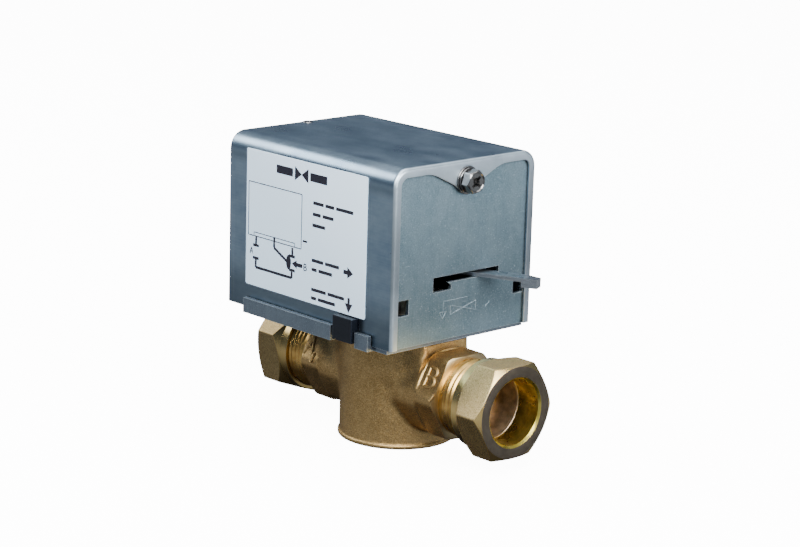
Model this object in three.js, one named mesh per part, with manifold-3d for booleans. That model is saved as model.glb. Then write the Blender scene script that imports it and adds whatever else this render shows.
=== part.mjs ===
// Motorised two-port zone valve for 22 mm heating pipe.
// Millimetres, +Z up. The pipe runs along X, port A at -X and port B at +X.
// The origin is the centre of the flat bottom of the valve body.

import * as THREE from 'three';
import { mergeVertices } from 'three/addons/utils/BufferGeometryUtils.js';
import Module from 'manifold-3d';

const wasm = await Module();
wasm.setup();

// ---------------------------------------------------------------- driving dimensions

const GAP = 0.1;                  // assembly clearance between pieces of one body
const RUN = 0.08;                 // radial running clearance of a shaft in a bore

// valve body
const PIPE_Z = 20.7;              // height of the pipe axis
const CUP_R = 19.7;               // round middle of the casting
const RIM_R = 20.25;
const RIM_H = 1.6;
const BODY_TOP = 37;
const FLOOR_T = 3;
const CHAMBER_R = 17;
const NECK_R = 15;                // branch between the cup and the spanner hexagon
const NECK_AF = 29;
const GROOVE_R = 14.5;            // turned groove between the ear and the hexagon
const EAR_X = 23;                 // ears that carry the bonnet screws
const EAR_W = 21.8;
const EAR_Z = 28;
const PORT_HEX_AF = 28;
const PORT_HEX_R = 15.6;
const PORT_HEX_X0 = 24.5;
const PORT_HEX_X1 = 33.3;
const THREAD_R = 13.6;
const BODY_END_X = 46.4;
const SOCKET_R = 11.2;            // takes the 22 mm pipe
const SOCKET_X = 36;              // pipe stop
const WATERWAY_R = 9.5;

// seat and paddle
const SEAT_X = 8;
const SEAT_T = 2.5;
const SEAT_R = 5.8;
const BALL_R = 7.5;
const BALL_ARM = 8;
const BALL_ANGLE = -69;           // degrees from +X with the valve shut
const SPINDLE_R = 3;
const TANG = 3.8;
const TANG_TOP = 45.5;
const ARM_Z0 = 28.6;
const ARM_Z1 = 32.4;

// compression nut and olive
const NUT_FACE_X = 56.3;
const NUT_HEX_X = 44.9;
const NUT_BACK_X = 41.5;
const NUT_AF = 31;
const NUT_CORNER_R = 17.8;
const NUT_FACE_R = 15.4;
const NUT_COLLAR_R = 15.2;
const NUT_BACK_CHAMFER = 2;
const NUT_TURN_A = 20;            // degrees that each nut is turned from flats level
const NUT_TURN_B = -1.4;
const NUT_BORE_R = 11.15;
const NUT_THREAD_R = 13.9;
const OLIVE_X0 = 46.7;
const OLIVE_X1 = 51.7;
const OLIVE_R = 12.6;

// bonnet and mounting plate
const BONNET_TOP = 39;
const PLUG_BOTTOM = 33;
const PLUG_R = 16.9;
const BOSS_R = 6;
const BOSS_TOP = 40.2;
const PLATE_TOP = 40.4;
const PLATE_X0 = -42.3;
const PLATE_X1 = 27.5;
const RAIL_Y = 34;
const RAIL_T = 1.6;
const RAIL_TOP = 44.2;
const RAIL_END = 3.1;
const TAB_X0 = 15;
const TAB_X1 = 21.3;
const BONNET_SCREW_X = 19.5;
const BONNET_SCREW_Y = 7.6;
const BONNET_SCREW_R = 1.6;
const BONNET_HOLE_R = 1.75;

// head cover
const COVER_X0 = -53.2;
const COVER_X1 = 30.2;
const COVER_HALF_Y = 32.1;
const COVER_BOTTOM = 40.6;
const COVER_TOP = 100.2;
const COVER_T = 1;
const COVER_ROLL_R = 6;
const FLANGE_W = 3.1;
const SCREW_Z = 93.4;             // cover screw in the tongue
const SCREW_HEAD_T = 3.4;
const WASHER_T = 1.1;

// actuator base
const BASE_BOTTOM = 40.6;
const BASE_T = 1.2;
const BASE_TOP = BASE_BOTTOM + BASE_T;
const BASE_HALF_Y = 30.9;
const BASE_X0 = -52.1;
const BASE_X1 = 29.1;
const BASE_END_TOP = 98.9;
const SLOT = { y0: -12.7, y1: 17.2, z0: 59.8, z1: 62.1 };
const NOTCH = { y1: -4.6, z0: 57.2, lip: -6.0, lipDrop: 1.1 };
const WINDOWS_Y = [-25.8, 26.7];  // centres of the two small windows beside the slot
const WINDOW = { width: 4.6, z0: 51.4, z1: 56.6 };
const GROMMET_Y = 12;
const GROMMET_Z = 52;
const GROMMET_HOLE_R = 6.2;
const COVER_SCREW_R = 2;
const COVER_HOLE_R = 2.2;

// how far a hole's tool runs through each sheet
const THROUGH_PLATE = [BONNET_TOP - 1, PLATE_TOP + 0.6];
const THROUGH_BASE = [BASE_BOTTOM - 0.6, BASE_TOP + 1.2];
const THROUGH_FRONT = [BASE_X1 - 9, COVER_X1 + 10];
const THROUGH_REAR = [BASE_X0 - 8, BASE_X0 + 12];

// drive
const HUB_R = 6;
const BUSH_R = 8.4;
const BUSH_FLANGE_R = 10;
const BUSH_TOP = 43.2;
const KEY = 6.6;                  // square that carries the sector and the lever
const SECTOR_Z = 56.5;
const SECTOR_T = 2;
const LEVER_Z = 60;
const LEVER_T = 1.2;
const LEVER_ANGLE = 23.5;
const LEVER_OFFSET = -2.5;
const LEVER_W = 5.8;
const LEVER_LENGTH = 50.8;
const LIP_Z = 58.2;               // lower edge of the lever's turned-down end
const GEAR_MODULE = 0.9;
const SECTOR_TEETH = 54;          // of a full wheel
const PINION_TEETH = 16;
const PINION_X = -GEAR_MODULE * (SECTOR_TEETH + PINION_TEETH) / 2;
const SECTOR_FIRST = 165;         // degrees, start and end of the toothed part
const SECTOR_LAST = 232;

// motor deck
const DECK_Z = 64;
const DECK_T = 1.6;
const DECK_TOP = DECK_Z + DECK_T;
const DECK_X0 = -50;
const DECK_X1 = 25;
const DECK_HALF_Y = 29;
const MOTOR_X = -23.5;
const MOTOR_R = 24.4;
const GEARBOX_TOP = 73;
const MOTOR_TOP = 89;
const PILLARS = [[-46, -25], [-46, 25], [20, -25], [20, 25]];
const MOTOR_EAR_Y = 27.2;
const MOTOR_EAR_T = 1.4;
const HEAD_SCREW_R = 1.35;        // screws of the deck and the motor
const HEAD_HOLE_R = 1.6;
const PINION_HOLE_R = 9.2;
const SHAFT_R = 1.98;
const THROUGH_DECK = [DECK_Z - 4, DECK_TOP + 4.4];
const EARTH_SCREW = [-38, -20];
const SWITCH_SCREWS = [[-7, 16.8], [7.2, 16.8]];
const SWITCH_SCREW_R = 1.15;

// release button
const BUTTON = { x0: 5.1, x1: 14.4, y: -34.9, z0: 40.3, z1: 48.4 };

// ---------------------------------------------------------------- materials

function metal(color, roughness, metalness = 0.9) {
  return new THREE.MeshStandardMaterial({ color, roughness, metalness });
}

const CAST_BRASS = metal(0x8a7448, 0.6);
const FORGED_BRASS = metal(0xb8a47c, 0.45);
const TURNED_BRASS = metal(0xc79a3c, 0.25);
const ZINC_STEEL = metal(0x5f7385, 0.4);
const GALVANISED = metal(0x75868d, 0.5);
const BRIGHT_STEEL = metal(0xb9bdbf, 0.3);
const GREY_STEEL = metal(0x6f7276, 0.4);
const MOTOR_STEEL = metal(0x9ea3a4, 0.35);
const BLACK_PLASTIC = metal(0x17191d, 0.45, 0);
const NATURAL_PLASTIC = metal(0xd9d4c4, 0.5, 0);
const BLACK_RUBBER = metal(0x101010, 0.8, 0);
const LABEL_FILM = metal(0xe4e9f2, 0.5, 0);

// ---------------------------------------------------------------- solid helpers

const ROUND = 32;                 // sides of a large circle
const MIDDLE = 20;                // of a shaft or a bush
const SMALL = 12;                 // of a screw or its hole
const radians = THREE.MathUtils.degToRad;

function polar(radius, degrees) {
  return [radius * Math.cos(radians(degrees)), radius * Math.sin(radians(degrees))];
}

function signedVolume(positions, triangles) {
  let volume = 0;
  const [a, b, c] = [new THREE.Vector3(), new THREE.Vector3(), new THREE.Vector3()];
  for (let i = 0; i < triangles.length; i += 3) {
    a.fromArray(positions, triangles[i] * 3);
    b.fromArray(positions, triangles[i + 1] * 3);
    c.fromArray(positions, triangles[i + 2] * 3);
    volume += a.dot(b.cross(c)) / 6;
  }
  return volume;
}

function solid(geometry) {
  geometry.deleteAttribute('normal');
  geometry.deleteAttribute('uv');
  const merged = mergeVertices(geometry, 1e-4);
  const positions = new Float32Array(merged.attributes.position.array);
  const triangles = [];
  const index = merged.index.array;
  for (let i = 0; i < index.length; i += 3) {
    const [a, b, c] = [index[i], index[i + 1], index[i + 2]];
    if (a !== b && b !== c && c !== a) triangles.push(a, b, c);
  }
  if (signedVolume(positions, triangles) < 0) triangles.reverse();
  const triVerts = new Uint32Array(triangles);
  return new wasm.Manifold(new wasm.Mesh({ numProp: 3, vertProperties: positions, triVerts }));
}

function join(...pieces) {
  return pieces.reduce((sum, piece) => sum.add(piece));
}

function cut(blank, ...tools) {
  return tools.reduce((rest, tool) => rest.subtract(tool), blank);
}

function box(x0, x1, y0, y1, z0, z1) {
  const geometry = new THREE.BoxGeometry(x1 - x0, y1 - y0, z1 - z0);
  geometry.translate((x0 + x1) / 2, (y0 + y1) / 2, (z0 + z1) / 2);
  return solid(geometry);
}

// turns a shape made around +Y so that it lies along the named axis
function aim(geometry, axis) {
  if (axis === 'x') geometry.rotateZ(-Math.PI / 2);
  if (axis === 'z') geometry.rotateX(Math.PI / 2);
  return geometry;
}

// moves a shape off its axis; the centre is given in the two other directions
function offAxis(geometry, axis, [u, v]) {
  if (axis === 'x') return geometry.translate(0, u, v);
  if (axis === 'y') return geometry.translate(u, 0, v);
  return geometry.translate(u, v, 0);
}

function rod(axis, radius, from, to, centre = [0, 0], sides = ROUND, endRadius = radius) {
  const geometry = new THREE.CylinderGeometry(endRadius, radius, to - from, sides);
  geometry.translate(0, (from + to) / 2, 0);
  return solid(offAxis(aim(geometry, axis), axis, centre));
}

// a turned piece; its profile is a list of [radius, distance along the axis]
function turned(axis, profile, centre = [0, 0], sides = ROUND) {
  const points = profile.map(([radius, along]) => new THREE.Vector2(radius, along));
  if (profile[0][0] > 0) points.push(points[0].clone());
  return solid(offAxis(aim(new THREE.LatheGeometry(points, sides), axis), axis, centre));
}

function ring(axis, inner, outer, from, to, centre = [0, 0], sides = ROUND) {
  return turned(axis, [[inner, from], [outer, from], [outer, to], [inner, to]], centre, sides);
}

// an outline with rounded corners; corners are [u, v, radius], anticlockwise
function outline(corners) {
  const shape = new THREE.Shape();
  const count = corners.length;
  corners.forEach(([u, v, radius = 0], i) => {
    const here = new THREE.Vector2(u, v);
    const before = new THREE.Vector2(...corners[(i + count - 1) % count]).sub(here).normalize();
    const after = new THREE.Vector2(...corners[(i + 1) % count]).sub(here).normalize();
    const half = Math.acos(before.dot(after)) / 2;
    const reach = radius / Math.tan(half);
    const start = here.clone().addScaledVector(before, reach);
    const end = here.clone().addScaledVector(after, reach);
    if (i === 0) shape.moveTo(start.x, start.y);
    else shape.lineTo(start.x, start.y);
    if (radius > 0) {
      const centre = here.clone().addScaledVector(before.add(after).normalize(), radius / Math.sin(half));
      const from = Math.atan2(start.y - centre.y, start.x - centre.x);
      const to = Math.atan2(end.y - centre.y, end.x - centre.x);
      shape.absarc(centre.x, centre.y, radius, from, to, false);
    }
  });
  return shape;
}

function rectangle(u0, u1, v0, v1, radius = 0) {
  return outline([[u0, v0, radius], [u1, v0, radius], [u1, v1, radius], [u0, v1, radius]]);
}

const UP_Z = new THREE.Matrix4();
const ALONG_X = new THREE.Matrix4().makeBasis(
  new THREE.Vector3(0, 1, 0), new THREE.Vector3(0, 0, 1), new THREE.Vector3(1, 0, 0));

// extrudes an outline: in plan along Z, or drawn in (Y, Z) along X
function extrude(shape, axis, from, to, curveSegments = 4) {
  const options = { depth: to - from, bevelEnabled: false, curveSegments };
  const geometry = new THREE.ExtrudeGeometry(shape, options);
  geometry.translate(0, 0, from);
  geometry.applyMatrix4(axis === 'x' ? ALONG_X : UP_Z);
  return solid(geometry);
}

function hexagon(acrossFlats, from, to) {
  const corner = acrossFlats / Math.sqrt(3);
  const geometry = new THREE.CylinderGeometry(corner, corner, to - from, 6);
  geometry.rotateY(Math.PI / 2);
  geometry.translate(0, (from + to) / 2, 0);
  return solid(aim(geometry, 'x').translate(0, 0, PIPE_Z));
}

// a helix of round wire about the Z axis
class Coil extends THREE.Curve {
  constructor(radius, turns, from, to, startAngle = 0) {
    super();
    Object.assign(this, { radius, turns, from, to, startAngle });
  }

  getPoint(t, target = new THREE.Vector3()) {
    const angle = this.startAngle + t * this.turns * 2 * Math.PI;
    const height = this.from + (this.to - this.from) * t;
    return target.set(this.radius * Math.cos(angle), this.radius * Math.sin(angle), height);
  }
}

function wire(curve, radius, steps, sides = 8) {
  const section = new THREE.Shape();
  section.absarc(0, 0, radius, 0, 2 * Math.PI, false);
  const options = { extrudePath: curve, steps, curveSegments: sides, bevelEnabled: false };
  return new THREE.ExtrudeGeometry(section, options);
}

// ---------------------------------------------------------------- the assembly

const group = new THREE.Group();
group.name = 'zone_valve';

function addPart(name, manifold, material) {
  const mesh = manifold.getMesh();
  const geometry = new THREE.BufferGeometry();
  geometry.setAttribute('position', new THREE.BufferAttribute(new Float32Array(mesh.vertProperties), 3));
  geometry.setIndex(new THREE.BufferAttribute(new Uint32Array(mesh.triVerts), 1));
  geometry.computeVertexNormals();
  const part = new THREE.Mesh(geometry, material);
  part.name = name;
  group.add(part);
}

// the same piece at the other end of the pipe
function otherEnd(manifold) {
  return manifold.rotate([0, 0, 180]);
}

// ---------------------------------------------------------------- valve body

const PIPE = [0, PIPE_Z];

function portOutside() {
  const hexEnvelope = turned('x', [
    [0, PORT_HEX_X0], [PORT_HEX_R, PORT_HEX_X0], [PORT_HEX_R, PORT_HEX_X1],
    [THREAD_R, PORT_HEX_X1 + 1.6], [0, PORT_HEX_X1 + 1.6],
  ], PIPE);
  const hex = hexagon(PORT_HEX_AF, PORT_HEX_X0, PORT_HEX_X1 + 2).intersect(hexEnvelope);
  const neck = hexagon(NECK_AF, 0, EAR_X).intersect(rod('x', NECK_R, 0, EAR_X, PIPE));
  const grooveHex = hexagon(NECK_AF, 0, PORT_HEX_X0 + 1);
  const groove = rod('x', GROOVE_R, 0, PORT_HEX_X0 + 0.5, PIPE).intersect(grooveHex);
  const thread = turned('x', [
    [0, 10], [THREAD_R, 10], [THREAD_R, BODY_END_X - 0.8], [THREAD_R - 0.8, BODY_END_X], [0, BODY_END_X],
  ], PIPE);
  return join(neck, groove, hex, thread);
}

function bonnetOutline() {
  const halfWidth = EAR_W / 2;
  return rectangle(-EAR_X, EAR_X, -halfWidth, halfWidth, 2);
}

function portInside() {
  const socket = turned('x', [
    [0, SOCKET_X], [SOCKET_R, SOCKET_X], [SOCKET_R, BODY_END_X - 1.2], [SOCKET_R + 1.2, BODY_END_X + 0.01],
    [0, BODY_END_X + 0.01],
  ], PIPE);
  return join(socket, rod('x', WATERWAY_R, SEAT_X + SEAT_T + 1.5, SOCKET_X + 1, PIPE));
}

function seatWall() {
  const wall = box(SEAT_X, SEAT_X + SEAT_T, -CHAMBER_R, CHAMBER_R, FLOOR_T - 0.5, PLUG_BOTTOM - 0.3);
  const [, seatY] = polar(BALL_ARM, BALL_ANGLE);
  const seat = rod('x', SEAT_R, SEAT_X - 1, SEAT_X + SEAT_T + 1, [seatY, PIPE_Z], MIDDLE);
  return cut(wall.intersect(rod('z', CHAMBER_R + 0.5, 0, BODY_TOP)), seat);
}

function bonnetScrewPlaces() {
  const places = [];
  for (const x of [-BONNET_SCREW_X, BONNET_SCREW_X]) {
    for (const y of [-BONNET_SCREW_Y, BONNET_SCREW_Y]) places.push([x, y]);
  }
  return places;
}

function valveBody() {
  const cup = join(rod('z', CUP_R, 0, BODY_TOP), rod('z', RIM_R, 0, RIM_H));
  const ears = extrude(bonnetOutline(), 'z', EAR_Z, BODY_TOP);
  const outside = join(cup, portOutside(), otherEnd(portOutside()), ears);
  const chamber = rod('z', CHAMBER_R, FLOOR_T, BODY_TOP + 1);
  const hollow = cut(outside, chamber, portInside(), otherEnd(portInside()));
  const screwHoles = bonnetScrewPlaces().map((place) => (
    rod('z', BONNET_HOLE_R, EAR_Z + 1.5, BODY_TOP + 1, place, SMALL)));
  return cut(join(hollow, seatWall()), ...screwHoles);
}

addPart('valve_body', valveBody(), CAST_BRASS);

// ---------------------------------------------------------------- compression joints

function compressionNut(turn) {
  const envelope = turned('x', [
    [0, NUT_HEX_X], [NUT_FACE_R, NUT_HEX_X], [NUT_CORNER_R, NUT_HEX_X + NUT_BACK_CHAMFER],
    [NUT_CORNER_R, NUT_FACE_X - 1.4], [NUT_FACE_R, NUT_FACE_X], [0, NUT_FACE_X],
  ], PIPE);
  const onAxis = hexagon(NUT_AF, NUT_HEX_X, NUT_FACE_X).translate([0, 0, -PIPE_Z]);
  const hex = onAxis.rotate([turn, 0, 0]).translate([0, 0, PIPE_Z]).intersect(envelope);
  const collar = rod('x', NUT_COLLAR_R, NUT_BACK_X, NUT_HEX_X + 1, PIPE);
  const inside = turned('x', [
    [0, NUT_BACK_X - 1], [NUT_THREAD_R, NUT_BACK_X - 1], [NUT_THREAD_R, 50.6], [OLIVE_R + 0.3, 50.6],
    [NUT_BORE_R, 52.6], [NUT_BORE_R, NUT_FACE_X - 0.5], [NUT_BORE_R + 0.6, NUT_FACE_X + 0.1],
    [0, NUT_FACE_X + 0.1],
  ], PIPE);
  return cut(join(hex, collar), inside);
}

function olive() {
  return turned('x', [
    [NUT_BORE_R, OLIVE_X0], [11.6, OLIVE_X0], [OLIVE_R, OLIVE_X0 + 1.1], [OLIVE_R, 50.2],
    [NUT_BORE_R + 0.3, OLIVE_X1], [NUT_BORE_R, OLIVE_X1],
  ], PIPE);
}

addPart('compression_nut_b', compressionNut(NUT_TURN_B), FORGED_BRASS);
addPart('compression_nut_a', otherEnd(compressionNut(NUT_TURN_A)), FORGED_BRASS);
addPart('olive_b', olive(), TURNED_BRASS);
addPart('olive_a', otherEnd(olive()), TURNED_BRASS);

// ---------------------------------------------------------------- bonnet

const O_RING_Z = [34.9, 37.5];    // grooves of the two spindle seals
const O_RING_R = 3.85;
const O_RING_WIRE = 0.7;
const O_RING_GROOVE_R = 4.6;
const PLUG_RING_Z = 35;
const PLUG_RING_R = 16.15;
const PLUG_RING_WIRE = 0.75;
const PLUG_GROOVE_R = 15.3;

function bonnetPlate() {
  const flange = join(
    extrude(bonnetOutline(), 'z', BODY_TOP, BONNET_TOP), rod('z', CUP_R, BODY_TOP, BONNET_TOP));
  const plug = rod('z', PLUG_R, PLUG_BOTTOM, BODY_TOP + 0.5);
  const boss = rod('z', BOSS_R, BODY_TOP + 0.5, BOSS_TOP, [0, 0], MIDDLE);
  const plugGroove = ring('z', PLUG_GROOVE_R, PLUG_R + 3, PLUG_RING_Z - 0.9, PLUG_RING_Z + 0.9);
  const bore = rod('z', SPINDLE_R + RUN, PLUG_BOTTOM - 1, BOSS_TOP + 1, [0, 0], MIDDLE);
  const spindleGrooves = O_RING_Z.map((z) => (
    rod('z', O_RING_GROOVE_R, z - 0.8, z + 0.8, [0, 0], MIDDLE)));
  const screwHoles = bonnetScrewPlaces().map((place) => (
    rod('z', BONNET_HOLE_R, BODY_TOP - 1, BONNET_TOP + 1, place, SMALL)));
  return cut(join(flange, plug, boss), plugGroove, bore, ...spindleGrooves, ...screwHoles);
}

function sealRing(meanRadius, wireRadius, z, sides) {
  const geometry = new THREE.TorusGeometry(meanRadius, wireRadius, 5, sides);
  return solid(geometry.translate(0, 0, z));
}

addPart('bonnet_plate', bonnetPlate(), BRIGHT_STEEL);
addPart('bonnet_o_ring', sealRing(PLUG_RING_R, PLUG_RING_WIRE, PLUG_RING_Z, ROUND), BLACK_RUBBER);
addPart('spindle_o_ring_lower', sealRing(O_RING_R, O_RING_WIRE, O_RING_Z[0], MIDDLE), BLACK_RUBBER);
addPart('spindle_o_ring_upper', sealRing(O_RING_R, O_RING_WIRE, O_RING_Z[1], MIDDLE), BLACK_RUBBER);

// ---------------------------------------------------------------- mounting plate

const COUNTERSINK_R = 3.3;
const TONGUE_HALF_Y = 31;         // the plate is narrower at its port B end
const NOTCH_IN = 28.8;            // inner side of the notch where the button passes

function mountingPlate() {
  const bottom = BONNET_TOP;
  const sheet = join(
    box(PLATE_X0, TAB_X1, -RAIL_Y, RAIL_Y, bottom, PLATE_TOP),
    box(TAB_X1 - 1, PLATE_X1, -TONGUE_HALF_Y, TONGUE_HALF_Y, bottom, PLATE_TOP));
  const rails = [-1, 1].flatMap((side) => [[PLATE_X0, RAIL_END], [TAB_X0, TAB_X1]].map(([x0, x1]) => {
    const y0 = Math.min(side * RAIL_Y, side * (RAIL_Y - RAIL_T));
    return box(x0, x1, y0, y0 + RAIL_T, bottom, RAIL_TOP);
  }));
  const notches = [-1, 1].map((side) => {
    const [y0, y1] = [side * NOTCH_IN, side * (RAIL_Y + 1.2)].sort((a, b) => a - b);
    return box(RAIL_END, TAB_X0, y0, y1, ...THROUGH_PLATE);
  });
  const boreHole = rod('z', BOSS_R + 0.4, ...THROUGH_PLATE, [0, 0], MIDDLE);
  const holeR = BONNET_SCREW_R + 0.3;
  const screwHoles = bonnetScrewPlaces().map((place) => turned('z', [
    [0, bottom - 1], [holeR, bottom - 1], [holeR, bottom + 0.2],
    [COUNTERSINK_R, PLATE_TOP + 0.01], [0, PLATE_TOP + 0.01],
  ], place, SMALL));
  return cut(join(sheet, ...rails), ...notches, boreHole, ...screwHoles);
}

function bonnetScrew(place) {
  const end = EAR_Z + 2;
  const top = PLATE_TOP - 0.05;
  const blank = turned('z', [
    [0, end], [BONNET_SCREW_R, end], [BONNET_SCREW_R, BONNET_TOP + 0.2], [COUNTERSINK_R - 0.2, top], [0, top],
  ], place, SMALL);
  return cut(blank, driverSlot(place, PLATE_TOP - 0.9, PLATE_TOP + 1));
}

// a driver slot seen from above
function driverSlot([x, y], from, to) {
  const halfLength = 1.6;
  const halfWidth = 0.3;
  return box(x - halfLength, x + halfLength, y - halfWidth, y + halfWidth, from, to);
}

addPart('mounting_plate', mountingPlate(), GALVANISED);
bonnetScrewPlaces().forEach((place, i) => {
  addPart(`bonnet_screw_${i + 1}`, bonnetScrew(place), BRIGHT_STEEL);
});

// ---------------------------------------------------------------- spindle, arm and ball

const [BALL_X, BALL_Y] = polar(BALL_ARM, BALL_ANGLE);
const STEM_R = 2;                 // stem that carries the ball
const SPIGOT_R = 2.4;             // foot of the spindle, in the arm
const STRAP_T = 1.8;

function spindle() {
  const half = TANG / 2;
  const tang = box(-half, half, -half, half, BOSS_TOP - 0.1, TANG_TOP);
  const shaft = turned('z', [
    [0, ARM_Z0], [SPIGOT_R, ARM_Z0], [SPIGOT_R, ARM_Z1], [SPINDLE_R, ARM_Z1], [SPINDLE_R, BOSS_TOP],
    [0, BOSS_TOP],
  ], [0, 0], MIDDLE);
  return join(shaft, tang);
}

function paddleArm() {
  const hub = rod('z', 5, ARM_Z0, ARM_Z1, [0, 0], MIDDLE);
  const half = 2.4;
  const strap = box(0, BALL_ARM, -half, half, ARM_Z0, ARM_Z0 + STRAP_T).rotate([0, 0, BALL_ANGLE]);
  const tip = rod('z', half, ARM_Z0, ARM_Z0 + STRAP_T, [BALL_X, BALL_Y], SMALL);
  const stem = rod('z', STEM_R, PIPE_Z - 4, ARM_Z0 + 0.5, [BALL_X, BALL_Y], SMALL);
  const bore = rod('z', SPIGOT_R + 0.05, ARM_Z0 - 1, ARM_Z1 + 1, [0, 0], MIDDLE);
  return cut(join(hub, strap, tip, stem), bore);
}

function valveBall() {
  const geometry = new THREE.SphereGeometry(BALL_R, MIDDLE, 10).rotateX(Math.PI / 2);
  const ball = solid(geometry.translate(BALL_X, BALL_Y, PIPE_Z));
  return cut(ball, rod('z', STEM_R + GAP, PIPE_Z - 4.2, PIPE_Z + BALL_R + 1, [BALL_X, BALL_Y], SMALL));
}

addPart('valve_spindle', spindle(), BRIGHT_STEEL);
addPart('paddle_arm', paddleArm(), TURNED_BRASS);
addPart('valve_ball', valveBall(), BLACK_RUBBER);

// ---------------------------------------------------------------- actuator base

function endPlate(x0, x1) {
  const halfWidth = BASE_HALF_Y;
  const corner = COVER_ROLL_R - COVER_T;
  return extrude(outline([
    [-halfWidth, BASE_BOTTOM], [halfWidth, BASE_BOTTOM],
    [halfWidth, BASE_END_TOP, corner], [-halfWidth, BASE_END_TOP, corner],
  ]), 'x', x0, x1);
}

// the lever's slot, with the open-position notch and its hooked lip at one end
function leverSlot() {
  const corners = [
    [SLOT.y0, NOTCH.z0], [NOTCH.y1, NOTCH.z0], [NOTCH.y1, SLOT.z0 - NOTCH.lipDrop],
    [NOTCH.lip, SLOT.z0], [SLOT.y1, SLOT.z0], [SLOT.y1, SLOT.z1], [SLOT.y0, SLOT.z1],
  ];
  const shape = new THREE.Shape(corners.map(([y, z]) => new THREE.Vector2(y, z)));
  return extrude(shape, 'x', BASE_X1 - 4, BASE_X1 + 4);
}

function baseFrame() {
  const floor = box(BASE_X0, BASE_X1, -BASE_HALF_Y, BASE_HALF_Y, BASE_BOTTOM, BASE_TOP);
  const front = endPlate(BASE_X1 - BASE_T, BASE_X1);
  const rear = endPlate(BASE_X0, BASE_X0 + BASE_T);
  const half = WINDOW.width / 2;
  const windows = WINDOWS_Y.map((y) => (
    box(...THROUGH_FRONT, y - half, y + half, WINDOW.z0, WINDOW.z1)));
  const bushHole = rod('z', BUSH_R + GAP, ...THROUGH_BASE);
  const latchNotch = box(BUTTON.x0 - 1.6, BUTTON.x1 + 1.6, -BASE_HALF_Y - 1, -26.5, ...THROUGH_BASE);
  const coverScrewHole = rod('x', COVER_HOLE_R, ...THROUGH_FRONT, [0, SCREW_Z], SMALL);
  const cableHole = rod('x', GROMMET_HOLE_R, ...THROUGH_REAR, [GROMMET_Y, GROMMET_Z], MIDDLE);
  const baseScrewHoles = [...PILLARS, EARTH_SCREW, ...SWITCH_SCREWS].map((place) => (
    rod('z', HEAD_HOLE_R, ...THROUGH_BASE, place, SMALL)));
  return cut(
    join(floor, front, rear), leverSlot(), ...windows, bushHole, latchNotch, coverScrewHole, cableHole,
    ...baseScrewHoles);
}

// ---------------------------------------------------------------- cover

function coverOutline(inset, bottom, corner) {
  const halfWidth = COVER_HALF_Y - inset;
  const top = COVER_TOP - inset;
  return outline([
    [-halfWidth, bottom], [halfWidth, bottom], [halfWidth, top, corner], [-halfWidth, top, corner],
  ]);
}

// the wide stretch of the front flange, down to a rounded tip that takes the cover screw
function tongue() {
  const root = 14.8;
  const [tip, edge, top] = [89.6, 97.2, 98.5];
  return extrude(outline([
    [0, tip, 4], [root, edge], [root, top], [-root, top], [-root, edge],
  ]), 'x', COVER_X1 - COVER_T, COVER_X1, 6);
}

function cover() {
  const shell = extrude(coverOutline(0, COVER_BOTTOM, COVER_ROLL_R), 'x', COVER_X0, COVER_X1, 6);
  const below = COVER_BOTTOM - 10;
  const cavity = extrude(coverOutline(COVER_T, below, COVER_ROLL_R - COVER_T), 'x',
    COVER_X0 + COVER_T, COVER_X1 - COVER_T, 6);
  const ends = extrude(coverOutline(FLANGE_W, below, COVER_ROLL_R - FLANGE_W), 'x',
    COVER_X0 - 5, COVER_X1 + 5, 6);
  const buttonWindow = box(
    BUTTON.x0 - 0.5, BUTTON.x1 + 0.5, -COVER_HALF_Y - 4, -COVER_HALF_Y + 4, below, BUTTON.z1 + 0.2);
  const screwHole = rod('x', COVER_HOLE_R, ...THROUGH_FRONT, [0, SCREW_Z], SMALL);
  return cut(join(cut(shell, cavity, ends), tongue()), buttonWindow, screwHole);
}

function coverScrew() {
  const shank = rod('x', COVER_SCREW_R, BASE_X1 - BASE_T - 4, COVER_X1 + 2, [0, SCREW_Z], SMALL);
  const hexCorner = 4.1;
  const seat = COVER_X1 + WASHER_T + GAP;
  const front = seat + SCREW_HEAD_T;
  const headGeometry = new THREE.CylinderGeometry(hexCorner, hexCorner, SCREW_HEAD_T, 6);
  const hex = solid(aim(headGeometry.translate(0, (seat + front) / 2, 0), 'x').translate(0, 0, SCREW_Z));
  const head = hex.intersect(turned('x', [
    [0, seat], [hexCorner, seat], [hexCorner, front - 0.6], [hexCorner - 0.7, front], [0, front],
  ], [0, SCREW_Z], SMALL));
  const [long, wide] = [1.9, 0.4];
  const recess = join(
    box(front - 1.6, front + 1, -long, long, SCREW_Z - wide, SCREW_Z + wide),
    box(front - 1.6, front + 1, -wide, wide, SCREW_Z - long, SCREW_Z + long));
  return cut(join(shank, head), recess);
}

const LABEL = { x0: -43.2, x1: 17.8, z0: 48.8, z1: 96, t: 0.15 };

addPart('cover', cover(), ZINC_STEEL);
addPart('cover_screw', coverScrew(), BRIGHT_STEEL);
addPart('cover_screw_washer',
  ring('x', 2.15, 4.7, COVER_X1, COVER_X1 + WASHER_T, [0, SCREW_Z], SMALL), BRIGHT_STEEL);
addPart('cover_label',
  box(LABEL.x0, LABEL.x1, -COVER_HALF_Y - LABEL.t, -COVER_HALF_Y, LABEL.z0, LABEL.z1), LABEL_FILM);

// ---------------------------------------------------------------- drive in the head

function keySquare(size, from, to) {
  return box(-size / 2, size / 2, -size / 2, size / 2, from, to);
}

const CAM_Z = [46, 50];
const CAM_R = 9.6;
const CAM_ANGLE = 140;
const HUB_TOP = LEVER_Z + LEVER_T + 0.2;
const HUB_WAIST_R = 4.5;
const PIN_R = 3;
const THROUGH_KEYED = [SECTOR_Z - 2, LEVER_Z + 5];

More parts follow.
